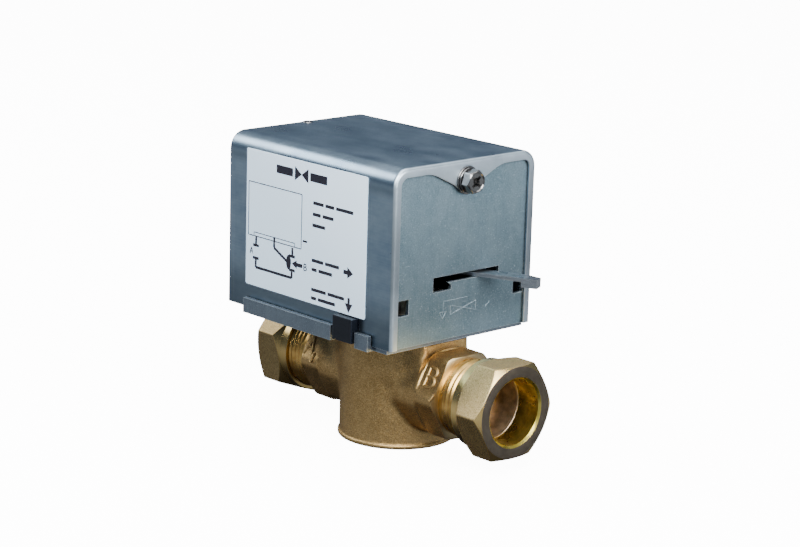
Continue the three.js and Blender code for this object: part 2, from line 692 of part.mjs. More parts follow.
function driveHub() {
  const journal = turned('z', [
    [0, BASE_BOTTOM + 0.1], [HUB_R, BASE_BOTTOM + 0.1], [HUB_R, CAM_Z[1]], [HUB_WAIST_R, CAM_Z[1] + 0.3],
    [HUB_WAIST_R, SECTOR_Z - 1.2], [HUB_R, SECTOR_Z - 1.2], [HUB_R, SECTOR_Z], [0, SECTOR_Z],
  ], [0, 0], MIDDLE);
  const noseR = 1.6;
  const cam = join(
    rod('z', noseR, ...CAM_Z, polar(CAM_R - noseR, CAM_ANGLE), SMALL),
    box(0, CAM_R - noseR, -noseR, noseR, ...CAM_Z).rotate([0, 0, CAM_ANGLE]));
  const key = keySquare(KEY, SECTOR_Z - 0.5, HUB_TOP);
  const pin = rod('z', PIN_R, HUB_TOP - 0.5, DECK_TOP, [0, 0], MIDDLE);
  const socket = keySquare(TANG + 0.3, 40, TANG_TOP + 0.5);
  return cut(join(journal, cam, key, pin), socket);
}

// one flank of an involute tooth as [radius, half the angle of the tooth there]
function toothFlank(teeth, backlash, rootRadius, tipRadius) {
  const pitchRadius = GEAR_MODULE * teeth / 2;
  const baseRadius = pitchRadius * Math.cos(radians(20));
  const involute = (cosine) => Math.tan(Math.acos(cosine)) - Math.acos(cosine);
  const pitchHalf = Math.PI / (2 * teeth) - backlash / (2 * pitchRadius);
  const start = Math.max(baseRadius, rootRadius);
  const steps = 2;
  const flank = [];
  if (rootRadius < start) flank.push([rootRadius, pitchHalf + involute(baseRadius / pitchRadius)]);
  for (let i = 0; i <= steps; i += 1) {
    const radius = start + (tipRadius - start) * i / steps;
    const turn = involute(baseRadius / pitchRadius) - involute(Math.min(1, baseRadius / radius));
    flank.push([radius, pitchHalf + turn]);
  }
  return flank;
}

// points of one tooth, anticlockwise, centred on the given angle
function toothPoints(teeth, angle) {
  const pitchRadius = GEAR_MODULE * teeth / 2;
  const flank = toothFlank(teeth, 0.12, pitchRadius - 1.25 * GEAR_MODULE, pitchRadius + 0.9 * GEAR_MODULE);
  const rising = flank.map(([radius, half]) => [radius, angle - half]);
  const falling = flank.map(([radius, half]) => [radius, angle + half]).reverse();
  return [...rising, ...falling].map(([radius, at]) => [radius * Math.cos(at), radius * Math.sin(at)]);
}

function sectorGear() {
  const pitch = 360 / SECTOR_TEETH;
  const rim = GEAR_MODULE * SECTOR_TEETH / 2 - 1.25 * GEAR_MODULE;
  const first = Math.round((SECTOR_FIRST - 180) / pitch);
  const last = Math.round((SECTOR_LAST - 180) / pitch);
  const webR = 8;
  const points = [polar(webR, SECTOR_FIRST - 30), polar(rim, 180 + (first - 0.5) * pitch)];
  for (let tooth = first; tooth <= last; tooth += 1) {
    points.push(...toothPoints(SECTOR_TEETH, radians(180 + tooth * pitch)));
  }
  points.push(polar(rim, 180 + (last + 0.5) * pitch), polar(webR, SECTOR_LAST + 30));
  const web = extrude(new THREE.Shape(points.map(([x, y]) => new THREE.Vector2(x, y))), 'z',
    SECTOR_Z, SECTOR_Z + SECTOR_T);
  const hub = rod('z', 9, SECTOR_Z, SECTOR_Z + SECTOR_T, [0, 0], MIDDLE);
  const holePlace = polar(15.5, (SECTOR_FIRST + SECTOR_LAST) / 2);
  const lightening = rod('z', 3.2, ...THROUGH_KEYED, holePlace, SMALL);
  const key = keySquare(KEY + 2 * GAP, ...THROUGH_KEYED);
  return cut(join(web, hub), lightening, key);
}

function manualLever() {
  const top = LEVER_Z + LEVER_T;
  const [right, left] = [LEVER_OFFSET - LEVER_W / 2, LEVER_OFFSET + LEVER_W / 2];
  const arm = extrude(outline([
    [0, right], [LEVER_LENGTH, right, 0.8], [LEVER_LENGTH, LEVER_OFFSET + 1.2, 0.6],
    [LEVER_LENGTH - 5, left, 1], [0, left],
  ]), 'z', LEVER_Z, top, 3);
  const lip = box(LEVER_LENGTH - 5.5, LEVER_LENGTH, right, right + LEVER_T, LIP_Z, top);
  const endLip = box(LEVER_LENGTH - LEVER_T, LEVER_LENGTH, right, LEVER_OFFSET + 0.8, LIP_Z, top);
  const blade = join(arm, lip, endLip).rotate([0, 0, LEVER_ANGLE]);
  const eye = rod('z', 8, LEVER_Z, top, [0, 0], MIDDLE);
  return cut(join(blade, eye), keySquare(KEY + 2 * GAP, ...THROUGH_KEYED));
}

function driveSpacer() {
  const from = SECTOR_Z + SECTOR_T;
  return cut(rod('z', HUB_R, from, LEVER_Z, [0, 0], MIDDLE), keySquare(KEY + 2 * GAP, ...THROUGH_KEYED));
}

// a sprung clip with an open mouth, over the pin above the lever
function driveClip() {
  const clip = ring('z', PIN_R + GAP, 4.6, HUB_TOP + GAP, HUB_TOP + 0.8, [0, 0], MIDDLE);
  return cut(clip, box(0, 8, -1.5, 1.5, ...THROUGH_KEYED));
}

addPart('drive_hub', driveHub(), NATURAL_PLASTIC);
addPart('sector_gear', sectorGear(), GREY_STEEL);
addPart('lever_spacer', driveSpacer(), NATURAL_PLASTIC);
addPart('manual_lever', manualLever(), GREY_STEEL);
addPart('lever_clip', driveClip(), BRIGHT_STEEL);

function driveBush() {
  return turned('z', [
    [HUB_R + RUN, BASE_BOTTOM], [BUSH_R, BASE_BOTTOM], [BUSH_R, BASE_TOP + 0.05],
    [BUSH_FLANGE_R, BASE_TOP + 0.05], [BUSH_FLANGE_R, BUSH_TOP], [HUB_R + RUN, BUSH_TOP],
  ], [0, 0], MIDDLE);
}

addPart('drive_bush', driveBush(), NATURAL_PLASTIC);

const COIL = { radius: 7.6, wire: 0.45, from: 51.1, to: 54.1, turns: 2.5 };

function returnSpring() {
  const coil = new Coil(COIL.radius, COIL.turns, COIL.from, COIL.to, Math.PI);
  return solid(wire(coil, COIL.wire, 32, 5));
}

addPart('return_spring', returnSpring(), BRIGHT_STEEL);

// ---------------------------------------------------------------- motor deck

function motorDeck() {
  const plate = extrude(rectangle(DECK_X0, DECK_X1, -DECK_HALF_Y, DECK_HALF_Y, 3), 'z', DECK_Z, DECK_TOP);
  const pinionHole = rod('z', PINION_HOLE_R, ...THROUGH_DECK, [PINION_X, 0], MIDDLE);
  const pinHole = rod('z', PIN_R + RUN, ...THROUGH_DECK, [0, 0], MIDDLE);
  const screwHoles = [...PILLARS, ...motorScrewPlaces()].map((place) => (
    rod('z', HEAD_HOLE_R, ...THROUGH_DECK, place, SMALL)));
  return cut(plate, pinionHole, pinHole, ...screwHoles);
}

function motorScrewPlaces() {
  return [[MOTOR_X, -MOTOR_EAR_Y], [MOTOR_X, MOTOR_EAR_Y]];
}

function pillar(place) {
  const boreR = HEAD_SCREW_R + 0.15;
  const post = rod('z', 3, BASE_TOP, DECK_Z, place, SMALL);
  const spigot = rod('z', HEAD_HOLE_R - GAP, BASE_BOTTOM, BASE_TOP + 1, place, SMALL);
  return cut(join(post, spigot), rod('z', boreR, DECK_Z - 8, DECK_Z + 1, place, SMALL));
}

function panScrew(place, seat, length, headRadius, shankRadius) {
  const blank = turned('z', [
    [0, seat - length], [shankRadius, seat - length], [shankRadius, seat], [headRadius, seat],
    [headRadius, seat + 1.2], [headRadius - 0.8, seat + 2], [0, seat + 2],
  ], place, SMALL);
  return cut(blank, driverSlot(place, seat + 0.9, seat + 3));
}

function gearbox() {
  const [halfWidth, halfLength] = [4, MOTOR_EAR_Y + 3.2];
  const ears = extrude(
    rectangle(MOTOR_X - halfWidth, MOTOR_X + halfWidth, -halfLength, halfLength, halfWidth - 0.1),
    'z', DECK_TOP, DECK_TOP + MOTOR_EAR_T);
  const screwHoles = motorScrewPlaces().map((place) => (
    rod('z', HEAD_HOLE_R, ...THROUGH_DECK, place, SMALL)));
  const shaftHole = rod('z', SHAFT_R + 0.22, DECK_Z - 4, GEARBOX_TOP - 1.5, [PINION_X, 0], SMALL);
  return cut(join(rod('z', MOTOR_R, DECK_TOP, GEARBOX_TOP, [MOTOR_X, 0]), ears), shaftHole, ...screwHoles);
}

function motorCan() {
  return turned('z', [
    [0, GEARBOX_TOP], [MOTOR_R + 0.6, GEARBOX_TOP], [MOTOR_R + 0.6, GEARBOX_TOP + 1.2],
    [MOTOR_R, GEARBOX_TOP + 1.8], [MOTOR_R, MOTOR_TOP - 1.5], [MOTOR_R - 1.5, MOTOR_TOP], [0, MOTOR_TOP],
  ], [MOTOR_X, 0]);
}

addPart('motor_deck', motorDeck(), GALVANISED);
PILLARS.forEach((place, i) => {
  addPart(`deck_pillar_${i + 1}`, pillar(place), BRIGHT_STEEL);
  addPart(`deck_screw_${i + 1}`, panScrew(place, DECK_TOP, 7, 3, HEAD_SCREW_R), BRIGHT_STEEL);
});
addPart('motor_gearbox', gearbox(), MOTOR_STEEL);
addPart('motor_can', motorCan(), MOTOR_STEEL);
motorScrewPlaces().forEach(([x, y], i) => {
  const screw = panScrew([x, y], DECK_TOP + MOTOR_EAR_T, 5, 2.6, HEAD_SCREW_R);
  addPart(`motor_screw_${i + 1}`, screw, BRIGHT_STEEL);
});

function motorPinion() {
  const points = [];
  for (let tooth = 0; tooth < PINION_TEETH; tooth += 1) {
    points.push(...toothPoints(PINION_TEETH, 2 * Math.PI * (tooth + 0.5) / PINION_TEETH));
  }
  const shape = new THREE.Shape(points.map(([x, y]) => new THREE.Vector2(x, y)));
  const [toothEnd, collarEnd] = [60, 63];
  const teeth = extrude(shape, 'z', SECTOR_Z - 1, toothEnd).translate([PINION_X, 0, 0]);
  const collar = rod('z', 5, toothEnd - 0.5, collarEnd, [PINION_X, 0], SMALL);
  const bore = rod('z', SHAFT_R + 0.07, SECTOR_Z - 6, collarEnd + 6, [PINION_X, 0], SMALL);
  return cut(join(teeth, collar), bore);
}

addPart('motor_pinion', motorPinion(), TURNED_BRASS);
addPart('motor_shaft', rod('z', SHAFT_R, 55.2, GEARBOX_TOP - 2, [PINION_X, 0], SMALL), BRIGHT_STEEL);

// ---------------------------------------------------------------- end switch

const SWITCH = { x0: -9.8, x1: 10, y0: 13.6, y1: 20, z0: BASE_TOP, z1: 52 };
const SWITCH_HINGE = [9, 12.5];
const SWITCH_LEVER_ANGLE = 197;
const SWITCH_LEVER = { length: 17.5, z0: 46.6, z1: 50.6, curlR: 0.9 };
const PLUNGER = [2.6, 48.2];      // its place on the side of the switch
const PLUNGER_R = 0.8;

function switchBody() {
  const block = box(SWITCH.x0, SWITCH.x1, SWITCH.y0, SWITCH.y1, SWITCH.z0, SWITCH.z1);
  const plungerHole = rod('y', PLUNGER_R + GAP, SWITCH.y0 - 0.6, SWITCH.y0 + 3, PLUNGER, SMALL);
  const screwHoles = SWITCH_SCREWS.map((place) => (
    rod('z', SWITCH_SCREW_R + 0.15, SWITCH.z0 - 1, SWITCH.z1 + 1, place, SMALL)));
  return cut(block, plungerHole, ...screwHoles);
}

function switchLever() {
  const [x, y] = SWITCH_HINGE;
  const { length, z0, z1, curlR } = SWITCH_LEVER;
  const strip = box(0, length, -0.2, 0.2, z0, z1);
  const curl = rod('z', curlR, z0, z1, [0, 0], 16);
  return join(strip, curl).rotate([0, 0, SWITCH_LEVER_ANGLE]).translate([x, y, 0]);
}

addPart('end_switch', switchBody(), BLACK_PLASTIC);
addPart('switch_lever', switchLever(), BRIGHT_STEEL);
addPart('switch_plunger',
  rod('y', PLUNGER_R, SWITCH.y0 - 2.5, SWITCH.y0 + 2.4, PLUNGER, SMALL), NATURAL_PLASTIC);
SWITCH_SCREWS.forEach((place, i) => {
  addPart(`switch_screw_${i + 1}`, panScrew(place, SWITCH.z1, 10.5, 2.2, SWITCH_SCREW_R), BRIGHT_STEEL);
});

// ---------------------------------------------------------------- small pieces of the base

addPart('base_frame', baseFrame(), GALVANISED);
addPart('earth_screw', panScrew(EARTH_SCREW, BASE_TOP, 1.1, 3.2, 1.45), TURNED_BRASS);

function cableGrommet() {
  const outer = BASE_X0;
  const inner = BASE_X0 + BASE_T;
  const neckR = GROMMET_HOLE_R - 0.2;
  const [boreR, rimR, collarR] = [3.6, 7.4, 8.2];
  return turned('x', [
    [boreR, outer - 2.2], [rimR, outer - 2.2], [collarR, outer - GAP], [neckR, outer - GAP],
    [neckR, inner + GAP], [collarR, inner + GAP], [rimR, inner + 2], [boreR, inner + 2],
  ], [GROMMET_Y, GROMMET_Z], MIDDLE);
}

addPart('cable_grommet', cableGrommet(), BLACK_RUBBER);

// ---------------------------------------------------------------- release button

const STEM = { x0: 5.8, x1: 13.7, y1: -26, z0: 42.2, z1: 47.6 };
const SPRING_X = (STEM.x0 + STEM.x1) / 2;
const SPRING_Z = (STEM.z0 + STEM.z1) / 2;
const LATCH_Y = -20;
const LATCH_X = [3.5, 16];
const BUTTON_BACK = -31;

function releaseButton() {
  const face = box(BUTTON.x0, BUTTON.x1, BUTTON.y, BUTTON_BACK, BUTTON.z0, BUTTON.z1);
  const stem = box(STEM.x0, STEM.x1, BUTTON_BACK - 0.5, STEM.y1, STEM.z0, STEM.z1);
  const stop = box(BUTTON.x0 - 1.3, BUTTON.x1 + 1.3, BUTTON_BACK, BUTTON_BACK + 1.4, STEM.z0, STEM.z1);
  const springSeat = rod('y', 2.6, STEM.y1 - 2, STEM.y1 + 1, [SPRING_X, SPRING_Z], SMALL);
  return cut(join(face, stem, stop), springSeat);
}

function latchBracket() {
  const foot = box(...LATCH_X, LATCH_Y, LATCH_Y + 7, BASE_TOP, BASE_TOP + 1);
  const wall = box(...LATCH_X, LATCH_Y, LATCH_Y + 1, BASE_TOP, 49);
  const peg = rod('y', 1.2, LATCH_Y - 2, LATCH_Y + 0.5, [SPRING_X, SPRING_Z], SMALL);
  return join(foot, wall, peg);
}

function buttonSpring() {
  const coil = new Coil(1.9, 5, STEM.y1 - 1.7, LATCH_Y - 0.4);
  const helix = wire(coil, 0.25, 40, 4);
  helix.rotateX(-Math.PI / 2);
  return solid(helix.translate(SPRING_X, 0, SPRING_Z));
}

addPart('release_button', releaseButton(), BLACK_PLASTIC);
addPart('latch_bracket', latchBracket(), GALVANISED);
addPart('button_spring', buttonSpring(), BRIGHT_STEEL);

export default group;
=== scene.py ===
"""Looks of the zone valve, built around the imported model.

Lengths are millimetres until a mesh is made; MM turns them into Blender's metres. The pipe runs along X with
port B at +X, the label faces -Y and +Z is up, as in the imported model.
"""

import math

import bmesh
import bpy
import numpy as np
from mathutils import Matrix, Vector


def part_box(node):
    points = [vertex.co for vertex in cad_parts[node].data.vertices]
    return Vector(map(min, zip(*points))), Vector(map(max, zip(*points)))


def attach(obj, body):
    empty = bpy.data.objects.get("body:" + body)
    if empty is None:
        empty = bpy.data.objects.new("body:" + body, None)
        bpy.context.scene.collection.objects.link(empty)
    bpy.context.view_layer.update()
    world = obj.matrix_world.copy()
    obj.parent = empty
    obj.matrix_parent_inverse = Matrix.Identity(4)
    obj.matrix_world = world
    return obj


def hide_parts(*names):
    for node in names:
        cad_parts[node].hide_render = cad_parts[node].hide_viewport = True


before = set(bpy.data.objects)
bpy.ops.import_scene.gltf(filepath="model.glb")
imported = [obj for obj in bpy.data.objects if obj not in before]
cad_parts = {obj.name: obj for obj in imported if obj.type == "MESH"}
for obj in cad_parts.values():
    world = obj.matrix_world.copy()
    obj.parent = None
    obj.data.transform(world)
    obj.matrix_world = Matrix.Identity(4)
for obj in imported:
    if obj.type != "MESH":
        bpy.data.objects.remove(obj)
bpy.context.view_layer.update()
MM = 0.001


def span(node):
    """Lowest and highest corner of a CAD node in millimetres."""
    low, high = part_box(node)
    return np.array(low) / MM, np.array(high) / MM


# --- sizes

BODY_HIGH = span("valve_body")[1]
NUT_LOW, NUT_HIGH = span("compression_nut_b")
COVER_LOW, COVER_HIGH = span("cover")
BASE_HIGH = span("base_frame")[1]
LABEL_LOW, LABEL_HIGH = span("cover_label")
WASHER_LOW, WASHER_HIGH = span("cover_screw_washer")
SCREW_LOW, SCREW_HIGH = span("cover_screw")
BUTTON_LOW, BUTTON_HIGH = span("release_button")

PIPE_Z = 20.7
BODY_TOP = BODY_HIGH[2]
PORT_END = BODY_HIGH[0]           # end of the threaded spigot
CUP_R = 19.7
RIM_R, RIM_H = 20.25, 1.6
NECK_R, NECK_AF = 15.0, 29.0
EAR_X, EAR_HALF_Y, EAR_Z, EAR_CORNER = 23.0, 10.9, 28.0, 2.0
HEX_X0, HEX_X1, HEX_AF, HEX_CORNER_R = 24.5, 33.3, 28.0, 15.6
FILLET_LOW, FILLET_GAIN = 1.3, 5.0    # between cup and neck, which grows towards the shoulder
FILLET_Z0, FILLET_Z1 = 20.0, 29.0
THREAD_R, THREAD_PITCH, THREAD_DEPTH = 13.6, 1.9, 0.6
SOCKET_R, SOCKET_X, WATERWAY_R = 11.2, 36.0, 9.5
CHAMBER_R, CHAMBER_FLOOR = 17.0, 3.0
CASTING_CELL = 0.42               # grid of the casting's surface

NUT_FACE = NUT_HIGH[0]
NUT_BACK = NUT_LOW[0]
NUT_HEX_X = 44.9
NUT_AF = 31.0
NUT_CORNER_R, NUT_FACE_R, NUT_COLLAR_R, NUT_BORE_R = 17.8, 15.4, 15.2, 11.15
NUT_THREAD_R, OLIVE_R = 13.9, 12.6
NUT_BACK_CHAMFER = 2.0
NUT_TURN_A, NUT_TURN_B = 20.0, -1.4   # degrees that each nut is turned from flats level
OLIVE_X0, OLIVE_X1 = 46.55, 52.03

COVER_T = 1.0
COVER_ROLL = 6.0
SIDE_STEPS, ROLL_STEPS, TOP_STEPS = 24, 19, 131   # points up a side, around a roll and across the top
FLANGE_W = 3.1
SCREW_Z = (WASHER_LOW[2] + WASHER_HIGH[2]) / 2


# --- material nodes

class Shader:
    """One procedural material; every texture is laid out in millimetres of the object's own space."""

    def __init__(self, name, color, metallic, roughness, **sockets):
        self.material = bpy.data.materials.new(name)
        self.material.use_nodes = True
        self.tree = self.material.node_tree
        self.surface = self.tree.nodes["Principled BSDF"]
        self.set("Base Color", (*color, 1))
        self.set("Metallic", metallic)
        self.set("Roughness", roughness)
        for socket, value in sockets.items():
            self.set(socket.replace("_", " "), value)
        self.space = self.node("TexCoord").outputs["Object"]
        self.normal = None

    def set(self, socket, value):
        self.surface.inputs[socket].default_value = value

    def node(self, kind, **settings):
        made = self.tree.nodes.new("ShaderNode" + kind)
        for key, value in settings.items():
            setattr(made, key, value)
        return made

    def plug(self, value, socket):
        if isinstance(value, bpy.types.NodeSocket):
            self.tree.links.new(value, socket)
        elif value is not None:
            socket.default_value = value

    def noise(self, size, detail=3.0, rough=0.55, stretch=(1, 1, 1)):
        """Noise whose features are about size millimetres wide, longer along an axis by a stretch over 1."""
        mapping = self.node("Mapping")
        self.plug(self.space, mapping.inputs["Vector"])
        self.plug(tuple(1 / (size * MM * s) for s in stretch), mapping.inputs["Scale"])
        made = self.node("TexNoise")
        self.plug(mapping.outputs["Vector"], made.inputs["Vector"])
        for socket, value in (("Scale", 1.0), ("Detail", detail), ("Roughness", rough)):
            made.inputs[socket].default_value = value
        return made.outputs["Fac"]

    def math(self, operation, a, b=None):
        made = self.node("Math", operation=operation)
        self.plug(a, made.inputs[0])
        self.plug(b, made.inputs[1])
        return made.outputs[0]

    def remap(self, value, from_low=0.3, from_high=0.7, to_low=0.0, to_high=1.0):
        """Carries a range of values onto another; noise mostly lies between the default limits."""
        made = self.node("MapRange")
        for socket, number in zip(made.inputs[0:5], (value, from_low, from_high, to_low, to_high)):
            self.plug(number, socket)
        return made.outputs["Result"]

    def mix(self, factor, a, b, blend_type="MIX"):
        made = self.node("Mix", data_type="RGBA", blend_type=blend_type)
        for value, socket in ((factor, "Factor"), (a, "A"), (b, "B")):
            self.plug((*value, 1) if isinstance(value, tuple) else value, made.inputs[socket])
        return made.outputs["Result"]

    def axis(self, name):
        made = self.node("SeparateXYZ")
        self.plug(self.space, made.inputs[0])
        return made.outputs[name]

    def attribute(self, name):
        return self.node("Attribute", attribute_name=name).outputs["Fac"]

    def edge_wear_and_glint(self, radius=0.35):
        """0 on flat ground, rising to 1 within about radius millimetres of an edge; marks edges for wear and
        for a painted highlight.
        """
        rounded_normal = self.node("Bevel", samples=4)
        rounded_normal.inputs["Radius"].default_value = radius * MM
        compare = self.node("VectorMath", operation="DOT_PRODUCT")
        self.plug(rounded_normal.outputs["Normal"], compare.inputs[0])
        self.plug(self.node("NewGeometry").outputs["Normal"], compare.inputs[1])
        return self.remap(compare.outputs["Value"], 0.995, 0.93, 0.0, 1.0)

    def fade(self, axis, *stops):
        """Grey level along an axis, from stops of (millimetres, level)."""
        first, last = stops[0][0], stops[-1][0]
        ramp = self.node("ValToRGB")
        self.plug(self.remap(self.axis(axis), first * MM, last * MM, 0.0, 1.0), ramp.inputs["Fac"])
        elements = ramp.color_ramp.elements
        while len(elements) < len(stops):
            elements.new(0.5)
        for element, (place_mm, level) in zip(elements, stops):
            element.position = (place_mm - first) / (last - first)
            element.color = (level, level, level, 1)
        return ramp.outputs["Color"]

    def crevice_shade(self, reach, low=0.25):
        """Painted shade: 1 in the open, falling to low in corners and gaps less than reach millimetres across.
        """
        hidden = self.node("AmbientOcclusion", samples=6)
        hidden.inputs["Distance"].default_value = reach * MM
        return self.remap(hidden.outputs["AO"], 0.35, 0.85, low, 1.0)

    def times(self, a, b):
        return self.mix(1.0, a, b, "MULTIPLY")

    def rub_and_glint(self, tone, bright, radius, share):
        """Sets the base colour to tone, lightened towards bright by share at edges, as wear and as a painted
        edge highlight.
        """
        self.color(self.mix(self.math("MULTIPLY", self.edge_wear_and_glint(radius), share), tone, bright))

    def bump(self, height, millimetres, strength=1.0):
        made = self.node("Bump")
        made.inputs["Strength"].default_value = strength
        made.inputs["Distance"].default_value = millimetres * MM
        self.plug(height, made.inputs["Height"])
        self.plug(self.normal, made.inputs["Normal"])
        self.normal = made.outputs["Normal"]

    def color(self, value):
        self.plug(value, self.surface.inputs["Base Color"])

    def roughness(self, value):
        self.plug(value, self.surface.inputs["Roughness"])

    def gloss(self, low, high, *noise):
        """Roughness that wanders between low and high with the noise described."""
        self.roughness(self.remap(self.noise(*noise), to_low=low, to_high=high))

    def done(self):
        self.plug(self.normal, self.surface.inputs["Normal"])
        return self.material


# --- materials

def cast_brass():
    """Olive-brown blasted casting: shot marks, mottled tarnish, painted shade in corners, and edges lightened
    as wear and as a painted highlight.
    """
    s = Shader("cast_brass", (0.36, 0.24, 0.11), 1.0, 0.5)
    tone = s.mix(s.remap(s.noise(7.0, 4, 0.6)), (0.42, 0.265, 0.10), (0.57, 0.375, 0.155))
    grain = s.noise(0.38, 3, 0.7)
    tone = s.mix(s.remap(grain, 0.48, 0.72, 0.0, 0.8), tone, (0.90, 0.64, 0.29))
    tone = s.mix(s.remap(grain, 0.28, 0.44, 0.55, 0.0), tone, (0.22, 0.13, 0.05))
    # Painted shade in corners and creases.
    tone = s.times(tone, s.crevice_shade(1.6, 0.4))
    # Edges lightened as wear and as a painted highlight.
    s.rub_and_glint(tone, (0.92, 0.66, 0.28), 0.5, 0.6)
    s.gloss(0.36, 0.5, 1.2, 3)
    s.bump(s.noise(0.45, 4, 0.65), 0.09)
    s.bump(s.noise(4.0, 2, 0.5), 0.25, 0.5)
    return s.done()


def forged_brass():
    """Nut: sandy blasted flats, and smooth cut faces where the mesh says machined; painted shade in corners and
    over the nut at port A, and edges lightened as wear and as a painted highlight.
    """
    s = Shader("forged_brass", (0.62, 0.50, 0.30), 1.0, 0.4)
    machined = s.attribute("machined")
    sand = s.mix(s.remap(s.noise(0.38, 3, 0.7), 0.34, 0.66, 0.0, 1.0), (0.55, 0.37, 0.15), (1.0, 0.77, 0.38))
    sand = s.times(sand, s.mix(s.noise(6.0, 3), (0.84, 0.82, 0.78), (1.0, 1.0, 1.0)))
    cut = s.mix(s.noise(2.0, 3), (0.82, 0.56, 0.20), (0.96, 0.70, 0.29))
    # Painted shade in corners and gaps.
    tone = s.times(s.mix(machined, sand, cut), s.crevice_shade(1.5, 0.4))
    # Painted shade: the nut at port A, at negative X, is darkened to 0.52 to 0.6, standing in for the shade
    # that falls on it.
    tone = s.times(tone, s.fade("X", (-60.0, 0.52), (-45.0, 0.60), (-20.0, 1.0), (20.0, 1.0)))
    # Edges lightened as wear and as a painted highlight.
    s.rub_and_glint(tone, (1.0, 0.82, 0.52), 0.25, 0.4)
    s.roughness(s.remap(machined, 0.0, 1.0, 0.44, 0.26))
    s.bump(s.math("MULTIPLY", s.noise(0.42, 4, 0.65), s.math("SUBTRACT", 1.0, machined)), 0.07)
    return s.done()


def turned_face():
    """Grey-brown faced end with fine turning rings around the pipe axis."""
    s = Shader("turned_face", (0.36, 0.29, 0.20), 1.0, 0.36)
    y = s.axis("Y")
    z = s.math("SUBTRACT", s.axis("Z"), PIPE_Z * MM)
    radius = s.math("SQRT", s.math("ADD", s.math("MULTIPLY", y, y), s.math("MULTIPLY", z, z)))
    wobble = s.math("MULTIPLY", s.noise(3.0, 2), 0.00012)
    rings = s.math("SINE", s.math("MULTIPLY", s.math("ADD", radius, wobble), 2 * math.pi / (0.22 * MM)))
    base = s.mix(s.remap(s.noise(5.0, 4, 0.6)), (0.12, 0.095, 0.072), (0.18, 0.148, 0.112))
    s.color(s.mix(s.remap(rings, -1.0, 1.0, 0.0, 0.3), base, (0.28, 0.235, 0.175)))
    s.gloss(0.3, 0.44, 2.0, 3)
    s.bump(rings, 0.006)
    return s.done()


def golden_brass(name, dark, light):
    """Freshly cut brass: smooth, golden, with soft lighter patches."""
    s = Shader(name, dark, 1.0, 0.3)
    s.color(s.mix(s.remap(s.noise(3.5, 2, 0.5), 0.35), dark, light))
    s.gloss(0.25, 0.33, 5.0, 1)
    return s.done()


def stained_bore():
    """Inside of the casting: dark copper brown with water stains."""
    s = Shader("stained_bore", (0.22, 0.11, 0.06), 1.0, 0.45)
    stain = s.remap(s.noise(4.0, 5, 0.65), 0.35, 0.65)
    s.color(s.mix(stain, (0.48, 0.355, 0.22), (0.70, 0.53, 0.36)))
    s.roughness(s.remap(stain, 0.0, 1.0, 0.38, 0.55))
    s.bump(s.noise(0.6, 4, 0.6), 0.05)
    return s.done()


def mottled(name, dark, light, tone, gloss, bump=None, metallic=1.0, **sockets):
    """Wanders between two colours. Tone is a noise, gloss two levels and a noise, bump a noise and a height."""
    s = Shader(name, dark, metallic, gloss[0], **sockets)
    s.color(s.mix(s.noise(*tone), dark, light))
    s.gloss(*gloss)
    if bump:
        s.bump(s.noise(*bump[:-1]), bump[-1])
    return s.done()


def zinc_sheet():
    """Blue-grey plated cover: rolling streaks along the pipe, faint handling marks, painted light and shade by
    height and in corners, and edges lightened as wear and as a painted highlight.
    """
    s = Shader("zinc_sheet", (0.36, 0.44, 0.50), 1.0, 0.3)
    streaks = s.noise(0.5, 2, 0.5, stretch=(90, 1, 1))
    cloud = s.noise(9.0, 5, 0.65, stretch=(1.6, 1, 1))
    base = s.mix(s.remap(cloud, 0.32, 0.68), (0.23, 0.325, 0.43), (0.36, 0.465, 0.56))
    base = s.mix(s.remap(streaks, 0.35, 0.65, 0.0, 0.12), base, (0.50, 0.58, 0.65))
    # Painted shade in corners and gaps.
    base = s.times(base, s.crevice_shade(1.5, 0.3))
    # Painted shade by height: darker towards the foot and in a band just below the roll.
    base = s.times(base, s.fade("Z", (40.6, 0.45), (48.5, 0.52), (58.0, 0.92), (74.0, 1.0), (90.0, 1.0),
                                (93.0, 0.72), (96.5, 1.0)))
    # Folded rim: painted light and shade by height, lighter at the foot and the top and darker up the sides,
    # then painted shade in its gaps.
    rim = s.fade("Z", (40.6, 1.15), (50.0, 0.95), (62.0, 0.65), (78.0, 0.7), (90.0, 1.0), (98.0, 1.3))
    rim = s.times(s.mix(s.noise(2.5, 3), (0.44, 0.53, 0.60), (0.57, 0.66, 0.73)), rim)
    rim = s.times(rim, s.crevice_shade(0.9, 0.15))
    base = s.mix(s.attribute("flange"), base, rim)
    # Edges lightened as wear and as a painted highlight.
    s.rub_and_glint(base, (0.80, 0.84, 0.88), 0.35, 0.7)
    rough = s.remap(s.noise(9.0, 1, stretch=(2, 1, 1)), to_low=0.27, to_high=0.33)
    s.roughness(s.math("ADD", rough, s.math("MULTIPLY", s.attribute("flange"), 0.1)))
    s.bump(s.noise(14.0, 1), 0.05, 0.4)
    return s.done()


